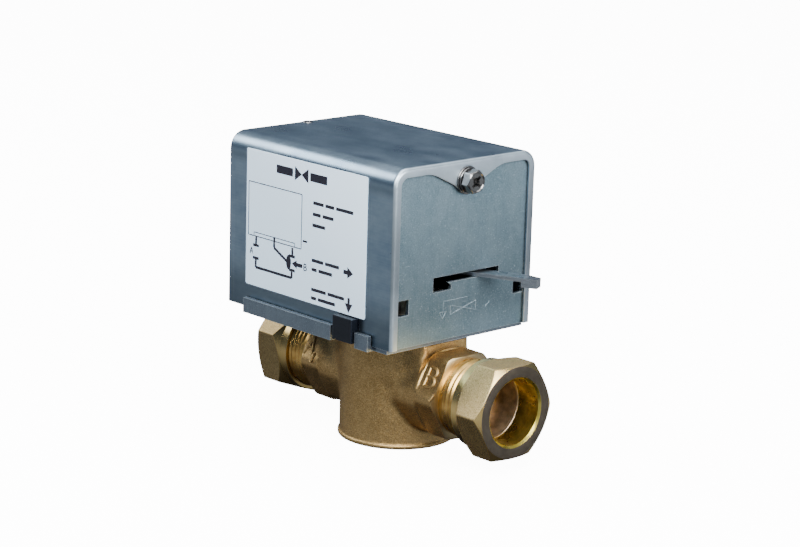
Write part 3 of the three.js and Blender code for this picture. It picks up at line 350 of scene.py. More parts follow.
def galvanised(name, dark, light, shade=None, wear_and_glint=0.8):
    """Dull blue-grey sheet with fine speckle, a faint upright grain and bright cut edges, lightened as wear and
    as a painted highlight; painted shade in corners, and painted light and shade by height where stops are
    given.
    """
    s = Shader(name, dark, 1.0, 0.45)
    speckle = s.noise(0.5, 3, 0.8)
    grain = s.noise(0.6, 3, 0.6, stretch=(1, 1, 14))
    cloud = s.noise(11.0, 4, 0.6, stretch=(1, 1, 1.8))
    base = s.mix(s.remap(cloud), dark, light)
    pale = tuple(min(1.0, c * 1.35) for c in light)
    base = s.mix(s.remap(speckle, 0.38, 0.66, 0.0, 0.6), base, pale)
    base = s.mix(s.remap(grain, 0.25, 0.5, 0.22, 0.0), base, tuple(c * 0.7 for c in dark))
    # Painted light and shade by height, from the stops given.
    if shade:
        base = s.times(base, s.fade("Z", *shade))
    base = s.mix(s.remap(s.noise(0.5, 2, 0.5), 0.66, 0.74, 0.0, 0.6), base, (0.72, 0.80, 0.84))
    # Painted shade in corners and gaps; edges lightened as wear and as a painted highlight.
    s.rub_and_glint(s.times(base, s.crevice_shade(1.2, 0.25)), (0.80, 0.86, 0.88), 0.35, wear_and_glint)
    s.roughness(s.remap(speckle, to_low=0.38, to_high=0.54))
    s.bump(speckle, 0.02)
    return s.done()


def grey_steel(name="grey_steel", dark=(0.30, 0.335, 0.37), light=(0.44, 0.48, 0.52), rough=0.3):
    """Smooth plain steel with fine drawing marks, and edges lightened as wear and as a painted highlight."""
    s = Shader(name, dark, 1.0, rough)
    marks = s.noise(0.4, 3, 0.6, stretch=(8, 8, 1))
    s.rub_and_glint(s.mix(s.remap(marks), dark, light), (0.80, 0.82, 0.84), 0.2, 0.7)
    s.gloss(rough - 0.05, rough + 0.06, 6.0, 1)
    s.bump(marks, 0.002)
    return s.done()


def plastic(name, dark, light, rough, grain, wear_and_glint=1.8):
    """Moulded plastic with a fine spark texture and slightly lightened edges, as wear and as a painted
    highlight.
    """
    s = Shader(name, dark, 0.0, rough, Specular_IOR_Level=0.35)
    base = s.mix(s.noise(3.0, 4, 0.6), dark, light)
    # Edge colour: wear plus a painted highlight.
    edge = tuple(min(1.0, c * wear_and_glint) for c in light)
    s.color(s.mix(s.edge_wear_and_glint(0.4), base, edge))
    s.gloss(rough - 0.08, rough + 0.08, 0.8, 3)
    s.bump(s.noise(grain, 3, 0.6), 0.015)
    return s.done()


CAST = cast_brass()
NUT = forged_brass()
FACE = turned_face()
GOLD = golden_brass("golden_brass", (0.62, 0.48, 0.08), (0.82, 0.66, 0.16))
THREAD = golden_brass("thread_brass", (0.60, 0.35, 0.09), (0.86, 0.56, 0.19))
BORE = stained_bore()
# Pale machined end of the port hexagon.
PALE = mottled("light_cut", (0.47, 0.355, 0.18), (0.68, 0.54, 0.31), (2.5, 4, 0.6), (0.28, 0.42, 1.0, 3),
               (0.3, 2, 0.015))
ZINC = zinc_sheet()
# Front plate: painted light and shade by height, darker through the middle and lighter towards the top.
GALVANISED = galvanised("galvanised", (0.175, 0.265, 0.32), (0.28, 0.375, 0.43), (
    (40.6, 1.0), (44.0, 0.95), (50.0, 0.74), (60.0, 0.78), (72.0, 0.92), (88.0, 1.12), (98.9, 1.15)))
BURR = galvanised("stamped_burr", (0.27, 0.37, 0.43), (0.36, 0.46, 0.52), wear_and_glint=0.1)
RAIL = galvanised("rail_steel", (0.17, 0.215, 0.26), (0.25, 0.30, 0.35))
# Nickel plated screws, springs and shafts.
BRIGHT = mottled("bright_plate", (0.19, 0.188, 0.184), (0.35, 0.345, 0.34), (1.6, 4, 0.6), (0.12, 0.24, 3.0, 1),
                 (0.3, 3, 0.008))
GREY = grey_steel()
MOTOR = grey_steel("motor_steel", (0.46, 0.46, 0.45), (0.60, 0.60, 0.59), 0.27)
BLACK = plastic("black_plastic", (0.002, 0.003, 0.006), (0.004, 0.006, 0.011), 0.42, 0.5, 3.0)
NATURAL = plastic("natural_plastic", (0.62, 0.58, 0.48), (0.74, 0.71, 0.62), 0.4, 0.6, 1.15)
RUBBER = plastic("black_rubber", (0.010, 0.010, 0.010), (0.026, 0.025, 0.024), 0.68, 0.35, 2.0)
# Bluish white film. Its glow is a look setting, not a property of the film; without it the label is too dark.
FILM = mottled("label_film", (0.80, 0.91, 1.0), (0.87, 0.96, 1.0), (9.0, 4, 0.6), (0.36, 0.5, 2.0, 3),
               (1.5, 3, 0.01), 0.0, Specular_IOR_Level=0.4, Emission_Color=(0.42, 0.70, 1.0, 1),
               Emission_Strength=0.6)
INK = mottled("label_ink", (0.014, 0.014, 0.022), (0.03, 0.03, 0.045), (0.6, 3), (0.42, 0.55, 2.0, 3),
              metallic=0.0, Specular_IOR_Level=0.2)


# --- mesh helpers

AROUND = 192                      # sides of a large turned face
AROUND_SMALL = 64                 # of a screw, rivet or pillar


def settle(thing, **values):
    """Sets several attributes of a thing."""
    for key, value in values.items():
        setattr(thing, key, value)


def new_object(name, data):
    """An object in the scene."""
    made = bpy.data.objects.new(name, data)
    bpy.context.scene.collection.objects.link(made)
    return made


def taken_mesh(made, *helpers):
    """The mesh of an object with its modifiers or bevel applied; the object and its helpers are removed."""
    result = bpy.data.meshes.new_from_object(made.evaluated_get(bpy.context.evaluated_depsgraph_get()))
    for spent in (*helpers, made):
        bpy.data.objects.remove(spent)
    return result


def plan_centre(low, high):
    return (low[0] + high[0]) / 2, (low[1] + high[1]) / 2


def place(name, mesh, body, slot, materials, node=(), sharp=34):
    """Makes the finished object: shading, materials, the body it rides on and the CAD nodes it stands for."""
    mesh.validate()
    mesh.shade_smooth()
    mesh.set_sharp_from_angle(angle=math.radians(sharp))
    made = new_object(name, mesh)
    for material in materials:
        if material.name not in mesh.materials:
            mesh.materials.append(material)
    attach(made, body)
    if node:
        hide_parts(*([node] if isinstance(node, str) else node))
    return made


def mesh_from(points, faces, name="mesh"):
    """A mesh from points in millimetres."""
    mesh = bpy.data.meshes.new(name)
    mesh.from_pydata((np.asarray(points, float) * MM).tolist(), [], [list(map(int, f)) for f in faces])
    mesh.update()
    return mesh


def grid_faces(rows, columns, close_rows, close_columns, first=0):
    """Quads of a grid of points numbered row by row."""
    r = np.arange(rows if close_rows else rows - 1)
    c = np.arange(columns if close_columns else columns - 1)
    r, c = np.meshgrid(r, c, indexing="ij")
    below, beside = (r + 1) % rows, (c + 1) % columns
    quads = np.stack([r * columns + c, r * columns + beside, below * columns + beside, below * columns + c], -1)
    return quads.reshape(-1, 4) + first


def end_fans(rings, sides, first):
    """Triangles that close a tube of rings at both ends, towards the two points numbered from first."""
    last = (rings - 1) * sides
    return ([[first, (k + 1) % sides, k] for k in range(sides)]
            + [[first + 1, last + k, last + (k + 1) % sides] for k in range(sides)])


def around(sides):
    """Evenly spaced angles of a full turn."""
    return np.arange(sides) * 2 * math.pi / sides


def pipe_ring(x, radius, angle, level):
    """Points around a line along the pipe at height level; x and radius may be numbers or arrays."""
    return np.stack([x + 0 * angle, radius * np.cos(angle), level + radius * np.sin(angle)], -1)


def outward(mesh):
    """Turns every closed shell's faces outwards."""
    shell = bmesh.new()
    shell.from_mesh(mesh)
    bmesh.ops.recalc_face_normals(shell, faces=shell.faces)
    shell.to_mesh(mesh)
    shell.free()
    return mesh


def rounded(corners, closed=True):
    """A polygon with its corners rounded; corners are (u, v) or (u, v, radius)."""
    points = []
    count = len(corners)
    for i, corner in enumerate(corners):
        here = np.array(corner[:2], float)
        radius = corner[2] if len(corner) > 2 else 0.0
        if radius <= 0 or (not closed and i in (0, count - 1)):
            points.append(here)
            continue
        before = np.array(corners[i - 1][:2], float) - here
        after = np.array(corners[(i + 1) % count][:2], float) - here
        room = min(np.linalg.norm(before), np.linalg.norm(after)) * 0.49
        before /= np.linalg.norm(before)
        after /= np.linalg.norm(after)
        half = math.acos(np.clip(before @ after, -1, 1)) / 2
        reach = min(radius / math.tan(half), room)
        radius = reach * math.tan(half)
        centre = here + (before + after) / np.linalg.norm(before + after) * radius / math.sin(half)
        start, end = here + before * reach, here + after * reach
        steps = max(2, int(math.ceil((math.pi - 2 * half) / math.radians(18))))
        for k in range(steps + 1):
            t = k / steps
            chord = start + (end - start) * t - centre
            points.append(centre + chord / np.linalg.norm(chord) * radius)
    return np.array(points)


def rectangle(u0, v0, u1, v1, *radius):
    return [(u0, v0, *radius), (u1, v0, *radius), (u1, v1, *radius), (u0, v1, *radius)]


AXES = {"x": ((0, 1, 0), (0, 0, 1), (1, 0, 0)), "y": ((0, 0, 1), (1, 0, 0), (0, 1, 0)),
        "z": ((1, 0, 0), (0, 1, 0), (0, 0, 1))}


def turned_mesh(axis, profile, centre=(0, 0, 0), sides=AROUND):
    """Turns a profile of (radius, distance along the axis). It closes on itself, or ends on the axis."""
    u, v, w = (np.array(d, float) for d in AXES[axis])
    profile = np.asarray(profile, float)
    on_axis = profile[0][0] < 1e-6 and profile[-1][0] < 1e-6
    body = profile[1:-1] if on_axis else profile
    angle = around(sides)
    circle = np.outer(np.cos(angle), u) + np.outer(np.sin(angle), v)
    points = (body[:, None, :1] * circle[None] + body[:, None, 1:] * w).reshape(-1, 3)
    faces = grid_faces(len(body), sides, not on_axis, True).tolist()
    if on_axis:
        faces += end_fans(len(body), sides, len(points))
        points = np.vstack([points, profile[0][1] * w, profile[-1][1] * w])
    return outward(mesh_from(points + np.array(centre, float), faces))


def prism_mesh(outline, axis, start, end, edge=0.0):
    """Extrudes an outline; in plan along z, or drawn in (y, z) along x, or in (x, z) along y."""
    outline = np.asarray(outline, float)
    order = {"z": (0, 1, 2), "x": (2, 0, 1), "y": (0, 2, 1)}[axis]
    shell = bmesh.new()
    flat = np.column_stack([outline, np.full(len(outline), start)])[:, order]
    verts = [shell.verts.new(p * MM) for p in flat]
    face = shell.faces.new(verts)
    step = np.array([0, 0, end - start])[list(order)] * MM
    grown = bmesh.ops.extrude_face_region(shell, geom=[face])
    moved = [g for g in grown["geom"] if isinstance(g, bmesh.types.BMVert)]
    bmesh.ops.translate(shell, verts=moved, vec=Vector(step))
    if edge > 0:
        rims = [e for e in shell.edges if e.calc_face_angle(0) > math.radians(40)]
        bmesh.ops.bevel(shell, geom=rims, offset=edge * MM, segments=3, profile=0.5, affect="EDGES",
                        clamp_overlap=True)
    bmesh.ops.recalc_face_normals(shell, faces=shell.faces)
    mesh = bpy.data.meshes.new("prism")
    shell.to_mesh(mesh)
    shell.free()
    return mesh


def block_mesh(low, high, edge=0.0):
    return prism_mesh(rectangle(*low[:2], *high[:2]), "z", low[2], high[2], edge)


def combined(mesh, tools):
    """Joins or cuts a mesh with tools given as (operation, mesh, material or None)."""
    base = new_object("work", mesh)
    helpers = []
    for operation, tool, material in tools:
        helpers.append(new_object("tool", tool))
        if material:
            tool.materials.append(material)
        settle(base.modifiers.new(operation, "BOOLEAN"), operation=operation, object=helpers[-1],
               solver="MANIFOLD", material_mode="TRANSFER")
    return taken_mesh(base, *helpers)


def blend_min(a, b, k):
    """The nearer of two distances, with a fillet of about k where they meet."""
    h = np.clip(0.5 + 0.5 * (b - a) / k, 0, 1)
    return b + (a - b) * h - k * h * (1 - h)


def blend_max(a, b, k):
    return -blend_min(-a, -b, k)


def surface_net(field, low, high, cell):
    """Closed quad mesh of the surface where field(points) is zero, each vertex moved onto that surface."""
    low = np.array(low, float)
    counts = np.ceil((np.array(high) - low) / cell).astype(int) + 1
    axes = [low[i] + cell * np.arange(counts[i]) for i in range(3)]
    points = np.stack(np.meshgrid(*axes, indexing="ij"), -1).reshape(-1, 3)
    inside = field(points).reshape(counts) < 0
    parts = [inside[i:counts[0] - 1 + i, j:counts[1] - 1 + j, k:counts[2] - 1 + k]
             for i in (0, 1) for j in (0, 1) for k in (0, 1)]
    total = sum(p.astype(int) for p in parts)
    active = (total > 0) & (total < 8)
    number = np.full(active.shape, -1)
    number[active] = np.arange(active.sum())
    vertices = low + (np.argwhere(active) + 0.5) * cell
    start = vertices.copy()
    nudge = 0.02 * cell
    for _ in range(5):
        value = field(vertices)
        gradient = np.stack([
            (field(vertices + nudge * d) - field(vertices - nudge * d)) / (2 * nudge) for d in np.eye(3)], -1)
        size = np.maximum((gradient ** 2).sum(1), 0.05)
        vertices = vertices - (value / size)[:, None] * gradient
        vertices = start + np.clip(vertices - start, -0.8 * cell, 0.8 * cell)
    quads = []
    for axis in range(3):
        order = (axis, (axis + 1) % 3, (axis + 2) % 3)
        solid, cells = np.transpose(inside, order), np.transpose(number, order)
        crossing = solid[:-1, 1:-1, 1:-1] != solid[1:, 1:-1, 1:-1]
        a, b, c = np.nonzero(crossing)
        quad = np.stack([cells[a, b, c], cells[a, b + 1, c], cells[a, b + 1, c + 1], cells[a, b, c + 1]], 1)
        backwards = ~solid[a, b + 1, c + 1]
        quad[backwards] = quad[backwards][:, ::-1]
        quads.append(quad)
    return vertices, np.vstack(quads)


def smooth_runs(paths, bend=35):
    """Splits paths at sharp corners, where one swept stroke would get thin."""
    runs = []
    for path in paths:
        points = [np.array(p, float) for p in path]
        run = points[:1]
        for before, here, after in zip(points, points[1:], points[2:] + [None]):
            run.append(here)
            if after is None:
                break
            a, b = here - before, after - here
            turn = math.degrees(math.acos(np.clip(a @ b / np.linalg.norm(a) / np.linalg.norm(b), -1, 1)))
            if turn > bend:
                runs.append(run)
                run = [here]
        runs.append(run)
    return runs


def stroke_mesh(paths, radius, flatten=None):
    """Round-ended strokes through 3-D points; flatten=(axis, level, share) presses them thin onto a plane."""
    curve = bpy.data.curves.new("stroke", "CURVE")
    settle(curve, dimensions="3D", bevel_depth=radius * MM, bevel_resolution=3, use_fill_caps=True)
    for path in smooth_runs(paths):
        spline = curve.splines.new("POLY")
        spline.points.add(len(path) - 1)
        for point, here in zip(spline.points, path):
            point.co = (*(np.array(here) * MM), 1)
    mesh = taken_mesh(new_object("stroke", curve))
    if flatten:
        axis, level, share = flatten
        for vertex in mesh.vertices:
            vertex.co[axis] = level * MM + (vertex.co[axis] - level * MM) * share
    return mesh


def merged(meshes):
    """Several meshes as one, each keeping its faces' materials."""
    shell = bmesh.new()
    for mesh in meshes:
        shell.from_mesh(mesh)
    result = bpy.data.meshes.new("merged")
    for material in meshes[0].materials:
        result.materials.append(material)
    shell.to_mesh(result)
    shell.free()
    return result


def half_turn(mesh):
    """The same mesh at the other end of the pipe."""
    copy = mesh.copy()
    copy.transform(Matrix.Rotation(math.pi, 4, "Z"))
    return copy


# --- valve body

FLAT_DIRECTIONS = [(math.cos(a), math.sin(a)) for a in (math.radians(d) for d in (30, 90, 150))]


def hexagon_distance(y, z, across_flats, soft):
    """Distance from a hexagon around the pipe axis with flats at top and bottom and softened corners."""
    sides = [np.abs(y * cy + z * cz) for cy, cz in FLAT_DIRECTIONS]
    return blend_max(blend_max(sides[0], sides[1], soft), sides[2], soft) - across_flats / 2


def body_field(p):
    """Signed distance of the casting before it is machined."""
    x, y, z = np.abs(p[:, 0]), p[:, 1], p[:, 2]
    up = z - PIPE_Z
    pipe = np.hypot(y, up)
    upright = np.hypot(p[:, 0], y)
    cup = upright - CUP_R
    rim = blend_max(upright - RIM_R, z - RIM_H, 0.5)
    neck = blend_max(hexagon_distance(y, up, NECK_AF, 1.2), pipe - NECK_R, 0.6)
    neck = blend_max(neck, x - HEX_X0, 0.5)
    ear_x, ear_y = x - EAR_X + EAR_CORNER, np.abs(y) - EAR_HALF_Y + EAR_CORNER
    ears = np.hypot(np.maximum(ear_x, 0), np.maximum(ear_y, 0)) + np.minimum(np.maximum(ear_x, ear_y), 0)
    ears -= EAR_CORNER
    ears = blend_max(ears, EAR_Z - z, 1.5)
    shoulder = np.clip((z - FILLET_Z0) / (FILLET_Z1 - FILLET_Z0), 0, 1)
    fillet = FILLET_LOW + FILLET_GAIN * shoulder * shoulder * (3 - 2 * shoulder)
    outside = blend_min(cup, neck, fillet)
    outside = blend_min(outside, ears, 2.2)
    hexagon = blend_max(hexagon_distance(y, up, HEX_AF, 0.9), pipe - HEX_CORNER_R, 0.5)
    rough_end = HEX_X1 + 3.0      # left long here and cut to length later
    hexagon = blend_max(hexagon, np.abs(x - (HEX_X0 + rough_end) / 2) - (rough_end - HEX_X0) / 2, 0.5)
    outside = blend_min(outside, hexagon, 0.5)
    outside = blend_min(outside, rim, 0.4)
    return blend_max(blend_max(outside, z - BODY_TOP, 0.25), -z, 0.7)


def thread_mesh():
    """The port's spigot: a helical thread outside, closed at both ends."""
    root = THREAD_R - THREAD_DEPTH
    start, end, sides, step = HEX_X1 - 2.0, PORT_END, 160, 0.125
    along = np.arange(start, end + step / 2, step)
    x, a = np.meshgrid(along, around(sides), indexing="ij")
    phase = ((x - HEX_X1) / THREAD_PITCH - a / (2 * math.pi)) % 1.0
    ridge = 0.5 - 0.5 * np.cos(2 * math.pi * phase)
    runout = np.clip((x - HEX_X1 - 1.6) / 1.2, 0, 1)
    mouth = np.clip((end - x) / 0.9, 0, 1)
    radius = root + THREAD_DEPTH * ridge * runout * mouth
    points = pipe_ring(x, radius, a, PIPE_Z).reshape(-1, 3)
    faces = grid_faces(len(along), sides, False, True).tolist() + end_fans(len(along), sides, len(points))
    return outward(mesh_from(np.vstack([points, (start, 0, PIPE_Z), (along[-1], 0, PIPE_Z)]), faces))


def pipe_tool(profile):
    return turned_mesh("x", profile, (0, 0, PIPE_Z))


def port_tools(turn):
    """Machining of one port: end face, thread, socket and waterway, and the cut under the ear."""
    far, wide = 42.0, 22.0            # well past the casting
    chamfer_x, mouth_r = HEX_X1 - 1.4, SOCKET_R + 0.3
    end_cut = pipe_tool([(0, HEX_X1), (13.9, HEX_X1), (17.5, chamfer_x), (wide, chamfer_x), (wide, far),
                         (0, far)])
    socket = pipe_tool([
        (0, SOCKET_X), (SOCKET_R, SOCKET_X), (SOCKET_R, PORT_END - 0.25), (mouth_r, PORT_END + 0.05),
        (mouth_r, PORT_END + 2), (0, PORT_END + 2)])
    waterway = pipe_tool(rectangle(0, 12.0, WATERWAY_R, SOCKET_X + 0.5))
    spot = pipe_tool(rectangle(14.5, EAR_X, 19, HEX_X0))
    limit = block_mesh((EAR_X - 1, -12.5, PIPE_Z + 7.5), (HEX_X0 + 1, 12.5, BODY_TOP + 3))
    spot = combined(spot, [("INTERSECT", limit, None)])
    steps = [("DIFFERENCE", end_cut, PALE), ("UNION", thread_mesh(), THREAD), ("DIFFERENCE", socket, BORE),
             ("DIFFERENCE", waterway, BORE), ("DIFFERENCE", spot, GOLD)]
    return [(operation, half_turn(tool) if turn else tool, material) for operation, tool, material in steps]


def build_valve_body():
    points, faces = surface_net(body_field, (-38, -22, -1.5), (38, 22, BODY_TOP + 1.5), CASTING_CELL)
    mesh = mesh_from(points, faces)
    mesh.materials.append(CAST)
    chamber = turned_mesh("z", rectangle(0, CHAMBER_FLOOR, CHAMBER_R, 40))
    mesh = combined(mesh, port_tools(False) + port_tools(True) + [("DIFFERENCE", chamber, BORE)])
    place("valve_casting", mesh, "valve", "cast_brass", [CAST], "valve_body", sharp=30)


build_valve_body()


# --- port letters

LETTER_STROKE = 0.58              # radius of the raised strokes


def face_point(x, up, proud):
    """A point on the upper label-side flat of the port hexagon; up runs along the flat."""
    tilt = math.radians(30)
    normal = np.array([0, -math.cos(tilt), math.sin(tilt)])
    along = np.array([0, math.sin(tilt), math.cos(tilt)])
    return np.array([x, 0, PIPE_Z]) + normal * (HEX_AF / 2 + proud) + along * up


def arc(centre, radius, start, end, steps=10, squash=1.0):
    angles = np.radians(np.linspace(start, end, steps + 1))
    return [(centre[0] + radius * squash * math.cos(a), centre[1] + radius * math.sin(a)) for a in angles]


def build_port_letters():
    """Raised port letters and a short cast bar beside them."""
    height, width = 6.6, 4.2
    top, middle = height / 2, 0.15
    upper = arc((-0.2, (top + middle) / 2), (top - middle) / 2, 90, -90, 8, 1.1)
    lower = arc((0.1, (middle - top) / 2), (middle + top) / 2, 90, -90, 8, 1.05)
    letter_b = [[(-width / 2, -top), (-width / 2, top), *upper, (-width / 2, middle)],
                [(-width / 2, middle), *lower, (-width / 2, -top)]]
    crossbar = width / 4 + 0.1
    letter_a = [[(-width / 2, -top), (0, top), (width / 2, -top)], [(-crossbar, -0.7), (crossbar, -0.7)]]
    bar_b, bar_a = [(3.0, -7.6), (4.0, -5.0)], [(2.7, -5.9), (3.0, -2.3)]
    for name, letter, x, lift, bar in (("port_letter_b", letter_b, 28.9, 0.6, bar_b),
                                       ("port_letter_a", letter_a, -30.3, -1.5, bar_a)):
        paths = [[face_point(x + u, v + lift, -0.1) for u, v in path] for path in letter]
        paths.append([face_point(x + u, v + lift, 0.05) for u, v in bar])
        place(name, stroke_mesh(paths, LETTER_STROKE), "valve", "cast_brass", [CAST])


build_port_letters()


# --- compression joints

def hexagon_radius(angle, across_flats, soft):
    """Radius of a hexagon with softened corners at each angle."""
    turn = np.mod(angle, math.radians(60)) - math.radians(30)
    beside = np.cos(math.radians(60) - np.abs(turn))
    return (across_flats / 2) / blend_max(np.cos(turn), beside, soft)


def nut_outside(x, angle, twist):
    """Radius of the nut's outside and how much of it is machined, by place along and around the pipe."""
    flat = hexagon_radius(angle - twist, NUT_AF, 0.012)
    corner = blend_min(flat, np.full_like(flat, NUT_CORNER_R), 0.12)
    front = NUT_FACE_R + (NUT_FACE - x) * (NUT_CORNER_R - NUT_FACE_R) / 1.45
    back = NUT_FACE_R + 0.05 + (x - NUT_HEX_X) * (NUT_CORNER_R - NUT_FACE_R) / NUT_BACK_CHAMFER
    cone = np.minimum(front, back)
    radius = blend_min(corner, cone, 0.14)
    machined = np.clip((corner - cone) / 0.25 + 0.5, 0, 1)
    return radius, machined


def nut_mesh(twist):
    """One closed band: outside from back to face, then in through the bore and the thread."""
    sides = 576
    angle = around(sides)
    hex_x = np.concatenate([
        np.linspace(NUT_HEX_X, NUT_HEX_X + 2.6, 26), np.linspace(NUT_HEX_X + 3.0, NUT_FACE - 3.4, 14),
        np.linspace(NUT_FACE - 3.2, NUT_FACE - 0.03, 34)])
    x_grid, a_grid = np.meshgrid(hex_x, angle, indexing="ij")
    hex_r, hex_cut = nut_outside(x_grid, a_grid, twist)
    collar = rounded([(NUT_BACK, NUT_THREAD_R), (NUT_BACK, NUT_COLLAR_R, 0.35),
                      (NUT_HEX_X - 0.25, NUT_COLLAR_R, 0.2), (NUT_HEX_X, NUT_COLLAR_R + 0.1)], closed=False)
    inside = rounded([(NUT_FACE, NUT_FACE_R - 0.12), (NUT_FACE, NUT_BORE_R + 0.75, 0.15),
                      (NUT_FACE - 0.65, NUT_BORE_R, 0.2), (52.05, NUT_BORE_R), (50.6, OLIVE_R + 0.3, 0.2),
                      (50.6, NUT_THREAD_R, 0.2), (NUT_BACK, NUT_THREAD_R)], closed=False)[:-1]
    rings, cuts = [], []

    for band in ([(x, r, 1.0) for x, r in collar[:-1]], zip(x_grid, hex_r, hex_cut),
                 [(x, r, 1.0) for x, r in inside]):
        for x, r, cut in band:
            rings.append(pipe_ring(x, r, angle, PIPE_Z))
            cuts.append(cut + 0 * angle)
    points = np.concatenate(rings)
    faces = grid_faces(len(rings), sides, True, True)
    mesh = mesh_from(points, faces)
    attribute = mesh.attributes.new("machined", "FLOAT", "POINT")
    attribute.data.foreach_set("value", np.concatenate(cuts).astype(np.float32))
    for material in (NUT, FACE, GOLD):
        mesh.materials.append(material)
    first_inside = len(collar) - 1 + len(hex_x)
    row = np.arange(len(faces)) // sides
    face_row = (row >= first_inside - 1) & (row <= first_inside)
    index = np.where(face_row, 1, np.where(row > first_inside, 2, 0)).astype(np.int32)
    mesh.polygons.foreach_set("material_index", index)
    return outward(mesh)


def build_nuts():
    nut_b, nut_a = nut_mesh(math.radians(NUT_TURN_B)), half_turn(nut_mesh(math.radians(NUT_TURN_A)))
    place("nut_b", nut_b, "valve", "forged_brass", [NUT], "compression_nut_b", sharp=50)
    place("nut_a", nut_a, "valve", "forged_brass", [NUT], "compression_nut_a", sharp=50)


def build_olives():
    profile = rounded([
        (NUT_BORE_R, OLIVE_X0, 0.1), (11.6, OLIVE_X0, 0.15), (OLIVE_R, 47.8, 0.4), (OLIVE_R, 50.2, 0.4),
        (NUT_BORE_R + 0.3, OLIVE_X1, 0.1), (NUT_BORE_R, OLIVE_X1)])
    mesh = turned_mesh("x", profile, (0, 0, PIPE_Z))
    place("olive_ring_a", half_turn(mesh), "valve", "turned_brass", [GOLD], "olive_a")
    place("olive_ring_b", mesh, "valve", "turned_brass", [GOLD], "olive_b")


build_nuts()
build_olives()


# --- cover

def cover_path():
    """The cover's outline seen along the pipe, with inward normals, from one lower edge to the other."""
    half, top, roll = COVER_HIGH[1], COVER_HIGH[2], COVER_ROLL
    rising = [(-half, z, 1.0, 0.0) for z in np.linspace(COVER_LOW[2], top - roll, SIDE_STEPS)]
    for a in np.radians(np.linspace(180, 90, ROLL_STEPS))[1:-1]:
        u, v = math.cos(a), math.sin(a)
        rising.append((-half + roll + roll * u, top - roll + roll * v, -u, -v))
    across = [(y, top, 0.0, -1.0) for y in np.linspace(-half + roll, half - roll, TOP_STEPS)]
    falling = [(-y, z, -ny, nz) for y, z, ny, nz in rising[::-1]]
    path = np.array(rising + across + falling)
    return path[:, :2], path[:, 2:]


# The tongue: distance from its middle, and how far it reaches down there.
TONGUE = [(0.0, 10.55), (2.0, 10.25), (3.6, 9.3), (5.0, 8.2), (9.4, 6.1), (13.4, 4.15), (15.4, 3.45),
          (17.4, 3.16), (19.0, FLANGE_W)]


def flange_width(points, front):
    """Width of the folded rim at each point of the outline; the tongue is a wide stretch of the front one."""
    width = np.full(len(points), FLANGE_W)
    if front:
        reach, depth = zip(*TONGUE)
        on_top = points[:, 1] > COVER_HIGH[2] - 0.01
        width[on_top] = np.interp(np.abs(points[on_top, 0]), reach, depth)
    return width


def cover_mesh():
    points, normals = cover_path()
    x0, x1 = COVER_LOW[0], COVER_HIGH[0]
    rear, front = flange_width(points, False), flange_width(points, True)
    bend, lip = 1.25, 0.12
    inner_bend = bend - COVER_T + 0.1
    rings, flanges = [], []
    for (y, z), (ny, nz), wide_rear, wide_front in zip(points, normals, rear, front):
        outer = rounded([(x0, wide_rear), (x0, 0, bend), (x1, 0, bend), (x1, wide_front)], closed=False)
        inner = rounded([(x1 - COVER_T, wide_front), (x1 - COVER_T, COVER_T, inner_bend),
                         (x0 + COVER_T, COVER_T, inner_bend), (x0 + COVER_T, wide_rear)], closed=False)
        outer[0, 0] += lip
        outer[-1, 0] -= lip
        section = np.vstack([outer[:1] + (-lip, -lip), outer[1:-1], outer[-1:] + (lip, -lip), outer[-1:], inner,
                             outer[:1]])
        rings.append([(x, y + ny * d, z + nz * d) for x, d in section])
        flanges.append([1.0 if x > x1 - 0.9 or x < x0 + 0.9 else 0.0 for x, _ in section])
    rings = np.array(rings)
    count = rings.shape[1]
    faces = grid_faces(len(rings), count, False, True).tolist()
    last = (len(rings) - 1) * count
    faces.append(list(range(count)))
    faces.append([last + k for k in range(count)][::-1])
    mesh = mesh_from(rings.reshape(-1, 3), faces)
    attribute = mesh.attributes.new("flange", "FLOAT", "POINT")
    attribute.data.foreach_set("value", np.array(flanges, np.float32).ravel())
    mesh.materials.append(ZINC)
    return outward(mesh)


def build_cover():
    gap, button_rim = 0.5, 1.3
    left, right = BUTTON_LOW[0] + button_rim - gap, BUTTON_HIGH[0] - button_rim + gap
    window = prism_mesh(rounded([(left, 30), (right, 30), (right, BUTTON_HIGH[2] + 0.2, 0.6),
                                 (left, BUTTON_HIGH[2] + 0.2, 0.6)]), "y", -40, -28)
    hole = turned_mesh("x", rectangle(0, 20, 2.2, 40), (0, 0, SCREW_Z), AROUND_SMALL)
    mesh = combined(cover_mesh(), [("DIFFERENCE", window, ZINC), ("DIFFERENCE", hole, ZINC)])
    place("cover_shell", mesh, "head", "zinc_steel", [ZINC], "cover", sharp=32)
    pip = turned_mesh("z", rounded([(0, -0.3), (1.9, -0.3), (1.9, 0.1, 0.2), (1.1, 0.35, 0.6), (0, 0.4)],
                                   closed=False), (-50.6, 0.8, COVER_HIGH[2]), AROUND_SMALL)
    place("cover_rivet", pip, "head", "bright_steel", [BRIGHT])


build_cover()


# --- cover screw

